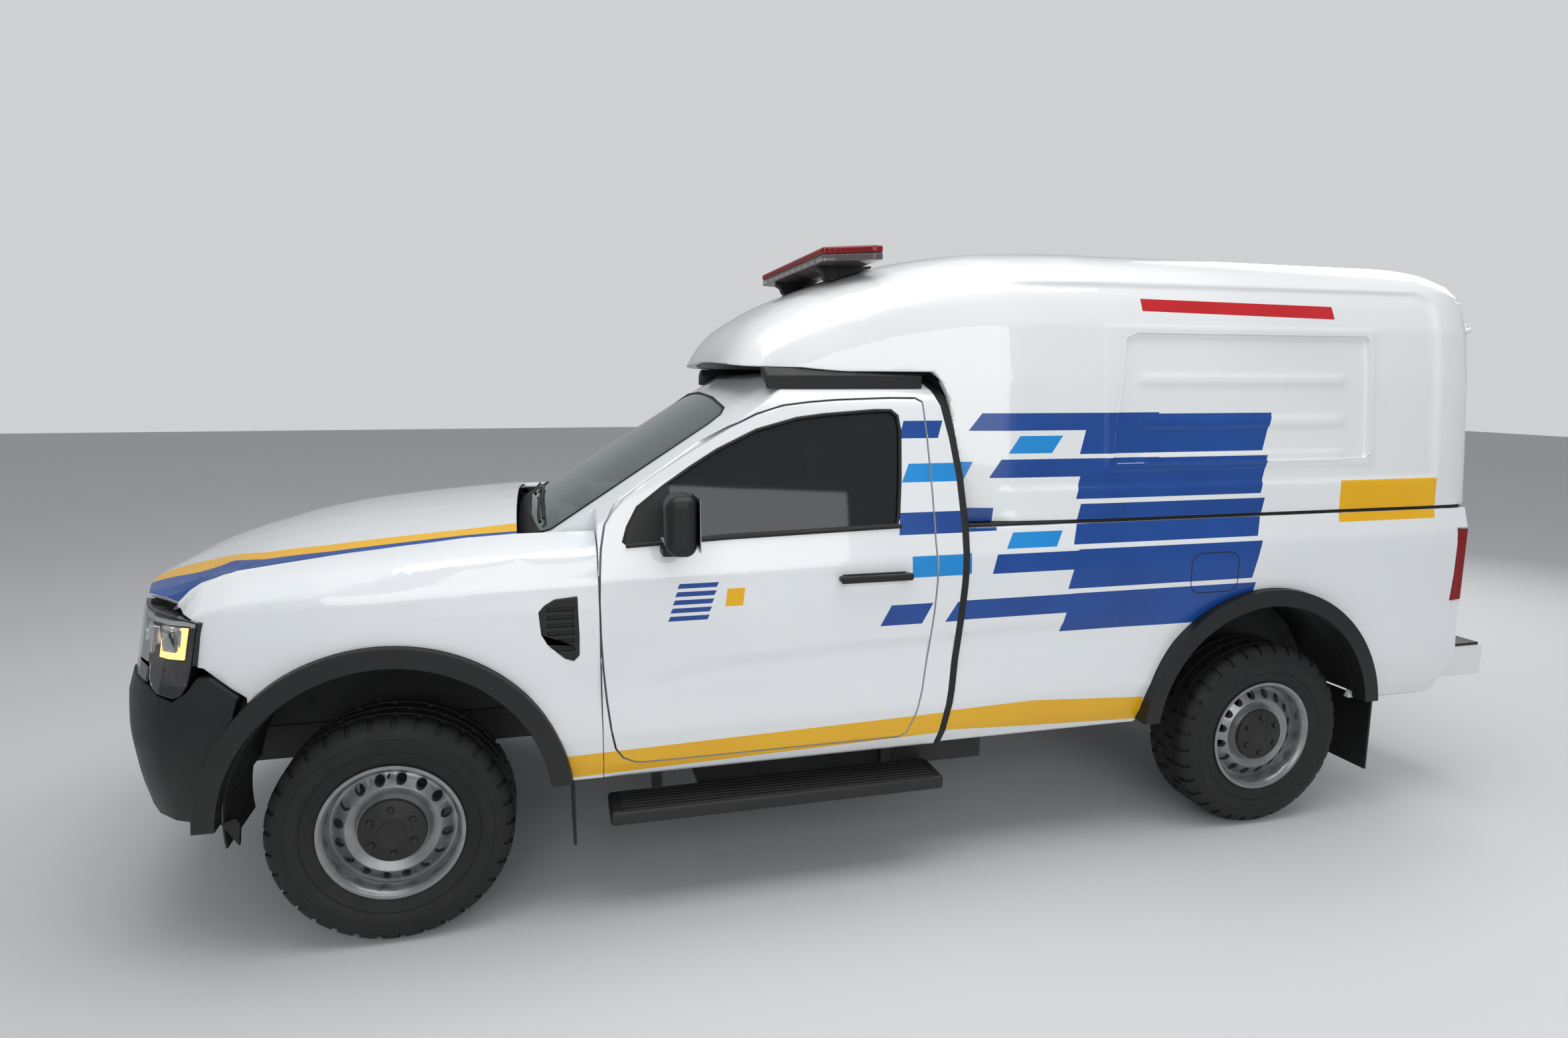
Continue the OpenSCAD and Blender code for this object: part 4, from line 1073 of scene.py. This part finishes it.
for name, x, y in (("front", -10, 510), ("rear", REAR_X + 30, 630)):
    both(plate("arch_wall_" + name, arc(x, 486, -68, 68), y, y + 5, 1), "vehicle", "black_plastic",
         "chassis_black")
foot = arc(-10, 553, 83, 87.6, 4) + arc(-10, 489, 87.4, 83, 4)
both(plate("flare_foot", foot, 896, 965, 3), "vehicle", "black_plastic")
apron = arc(-10, 487, 79, 97, 8) + arc(-10, 481, 97, 79, 8)
both(plate("arch_apron", apron, 620, 903, 1), "vehicle", "black_plastic")
deflector = [(436, 378), (482, 456), (440, 470), (428, 452)]
both(plate("bumper_deflector", deflector, 884, 904, 3), "vehicle", "black_rubber")

# cushions and pads: closed forms blown up between their seams

# part of a pad's height that stays in place, reach of a seam in cells, pressure and number of frames
HELD = 0.3
SEAM_REACH = 0.6
PRESSURE = 4
CLOTH_FRAMES = 20


def pad(name, low, high, cell, swell, channels, lean=0):
    """A cushion of the given box; channels are X or Y places of sewn seams as (axis, mm)."""
    piece = block(name, [v + 6 for v in low], [v - 6 for v in high], 22, 4)
    places = [(0, (mm + FRONT_AXLE) / 1000) if axis == "x" else (1, mm / 1000) for axis, mm in channels]
    use(piece, "REMESH", mode="VOXEL", voxel_size=cell / 1000)
    held = piece.vertex_groups.new(name="seams")
    base = low[2] / 1000
    tall = (high[2] - low[2]) / 1000
    for vertex in piece.data.vertices:
        near = [abs(vertex.co[axis] - mm) for axis, mm in places]
        if vertex.co.z < base + HELD * tall or (near and min(near) < SEAM_REACH * cell / 1000):
            held.add([vertex.index], 1.0, "REPLACE")
    before = [vertex.co.copy() for vertex in piece.data.vertices]
    cloth = piece.modifiers.new("Cloth", "CLOTH")
    cloth.settings.use_pressure = True
    cloth.settings.uniform_pressure_force = PRESSURE
    cloth.settings.effector_weights.gravity = 0
    cloth.settings.vertex_group_mass = "seams"
    for moment in range(1, CLOTH_FRAMES + 1):
        bpy.context.scene.frame_set(moment)
    bpy.ops.object.modifier_apply(modifier="Cloth")
    bpy.context.scene.frame_set(1)
    for vertex, start in zip(piece.data.vertices, before):
        step = vertex.co - start
        if step.length > swell / 1000:
            vertex.co = start + step * (swell / 1000 / step.length)
    for vertex in piece.data.vertices:
        vertex.co.x += lean * (vertex.co.z - low[2] / 1000) / 1000
    return smooth(piece, 60, False)


def cushion(name, low, high, slot, cell, swell, channels, lean=0, stands_for=(), twin=False):
    piece = pad(name, low, high, cell, swell, channels, lean)
    if twin:
        made = both(piece, "vehicle", slot, None, stands_for)
    else:
        made = [put(piece, "vehicle", slot, None, stands_for)]


cushion("seat_cushion", (-1500, 130, 700), (-1000, 630, 820), "seat_cloth", 8, 10,
        [("y", 230), ("y", 530), ("x", -1180)], stands_for=["seats"], twin=True)
cushion("seat_back", (-1500, 130, 822), (-1400, 630, 1378), "seat_cloth", 8, 8,
        [("y", 230), ("y", 530)], lean=-285, twin=True)
cushion("head_rest", (-1664, 240, 1392), (-1584, 520, 1556), "seat_cloth", 8, 6, (), lean=-220, twin=True)
both(block("seat_base", (-1450, 160, 640), (-1080, 600, 704), 8), "vehicle", "trim_grey")
cushion("bench_pad", (-3896, -838, 1194), (-2204, -602, 1250), "bench_vinyl", 12, 8,
        [("x", -3330), ("x", -2770)], stands_for=["bench"])
cushion("stretcher_pad", (-3960, -262, 1122), (-2190, 262, 1180), "bench_vinyl", 12, 8,
        [("x", -3500), ("x", -2800)])
for name, x0, x1, z0, z1, edge in (("bench_locker", -3900, -2200, 940, 1196, 6),
                                   ("bench_foot_rear", -3900, -3760, 810, 942, 4),
                                   ("bench_foot_front", -2710, -2200, 810, 942, 4)):
    put(block(name, (x0, -840, z0), (x1, -600, z1), edge), "vehicle", "white_gelcoat", "liner_grey")
put(block("stretcher_deck", (-4000, -280, 1100), (-2150, 280, 1123), 5), "vehicle", "wheel_silver")
for i, x in enumerate((-3900, -2300)):
    leg = block(f"stretcher_leg_{i + 1}", (x - 20, -200, 810), (x + 20, 200, 1102), 6)
    put(leg, "vehicle", "wheel_silver")

# studio

deselect()
bpy.ops.mesh.primitive_plane_add(size=60, location=(0, 0, 0))
floor = bpy.context.object
floor.name = "studio_floor"
ground = bpy.data.materials.new("pale_floor")
ground.use_nodes = True
ground.node_tree.nodes["Principled BSDF"].inputs["Base Color"].default_value = linear("#d9dadb")
ground.node_tree.nodes["Principled BSDF"].inputs["Roughness"].default_value = 0.75
floor.data.materials.append(ground)

world = bpy.data.worlds.new("studio")
bpy.context.scene.world = world
world.use_nodes = True
world.node_tree.nodes.clear()
path = add(world.node_tree, "ShaderNodeLightPath")
rays = {0: path.outputs["Is Camera Ray"], 1: path.outputs["Is Transmission Ray"]}
seen = add(world.node_tree, "ShaderNodeMath", rays, operation="MAXIMUM").outputs["Value"]
soft = add(world.node_tree, "ShaderNodeBackground", {"Color": linear("#eef1f5"), "Strength": 0.42})
pale = add(world.node_tree, "ShaderNodeBackground", {"Color": linear("#e4e6e8"), "Strength": 0.8})
mixed = add(world.node_tree, "ShaderNodeMixShader", {0: seen, 1: soft.outputs[0], 2: pale.outputs[0]})
add(world.node_tree, "ShaderNodeOutputWorld", {"Surface": mixed.outputs[0]})


def lamp(name, place, aim, size, power):
    data = bpy.data.lights.new(name, "AREA")
    data.shape = "RECTANGLE"
    data.size, data.size_y = size
    data.energy = power
    item = bpy.data.objects.new(name, data)
    item.location = place
    item.rotation_euler = (Vector(aim) - Vector(place)).to_track_quat("-Z", "Y").to_euler()
    bpy.context.collection.objects.link(item)


lamp("ceiling_light", (0, 1.0, 6.5), (0, 0, 0), (7, 5), 270)
lamp("side_light", (1.0, 7.0, 3.2), (0, 0, 1.0), (6, 3), 125)
lamp("back_light", (-6.5, -3.0, 4.0), (0, 0, 1), (4, 3), 110)
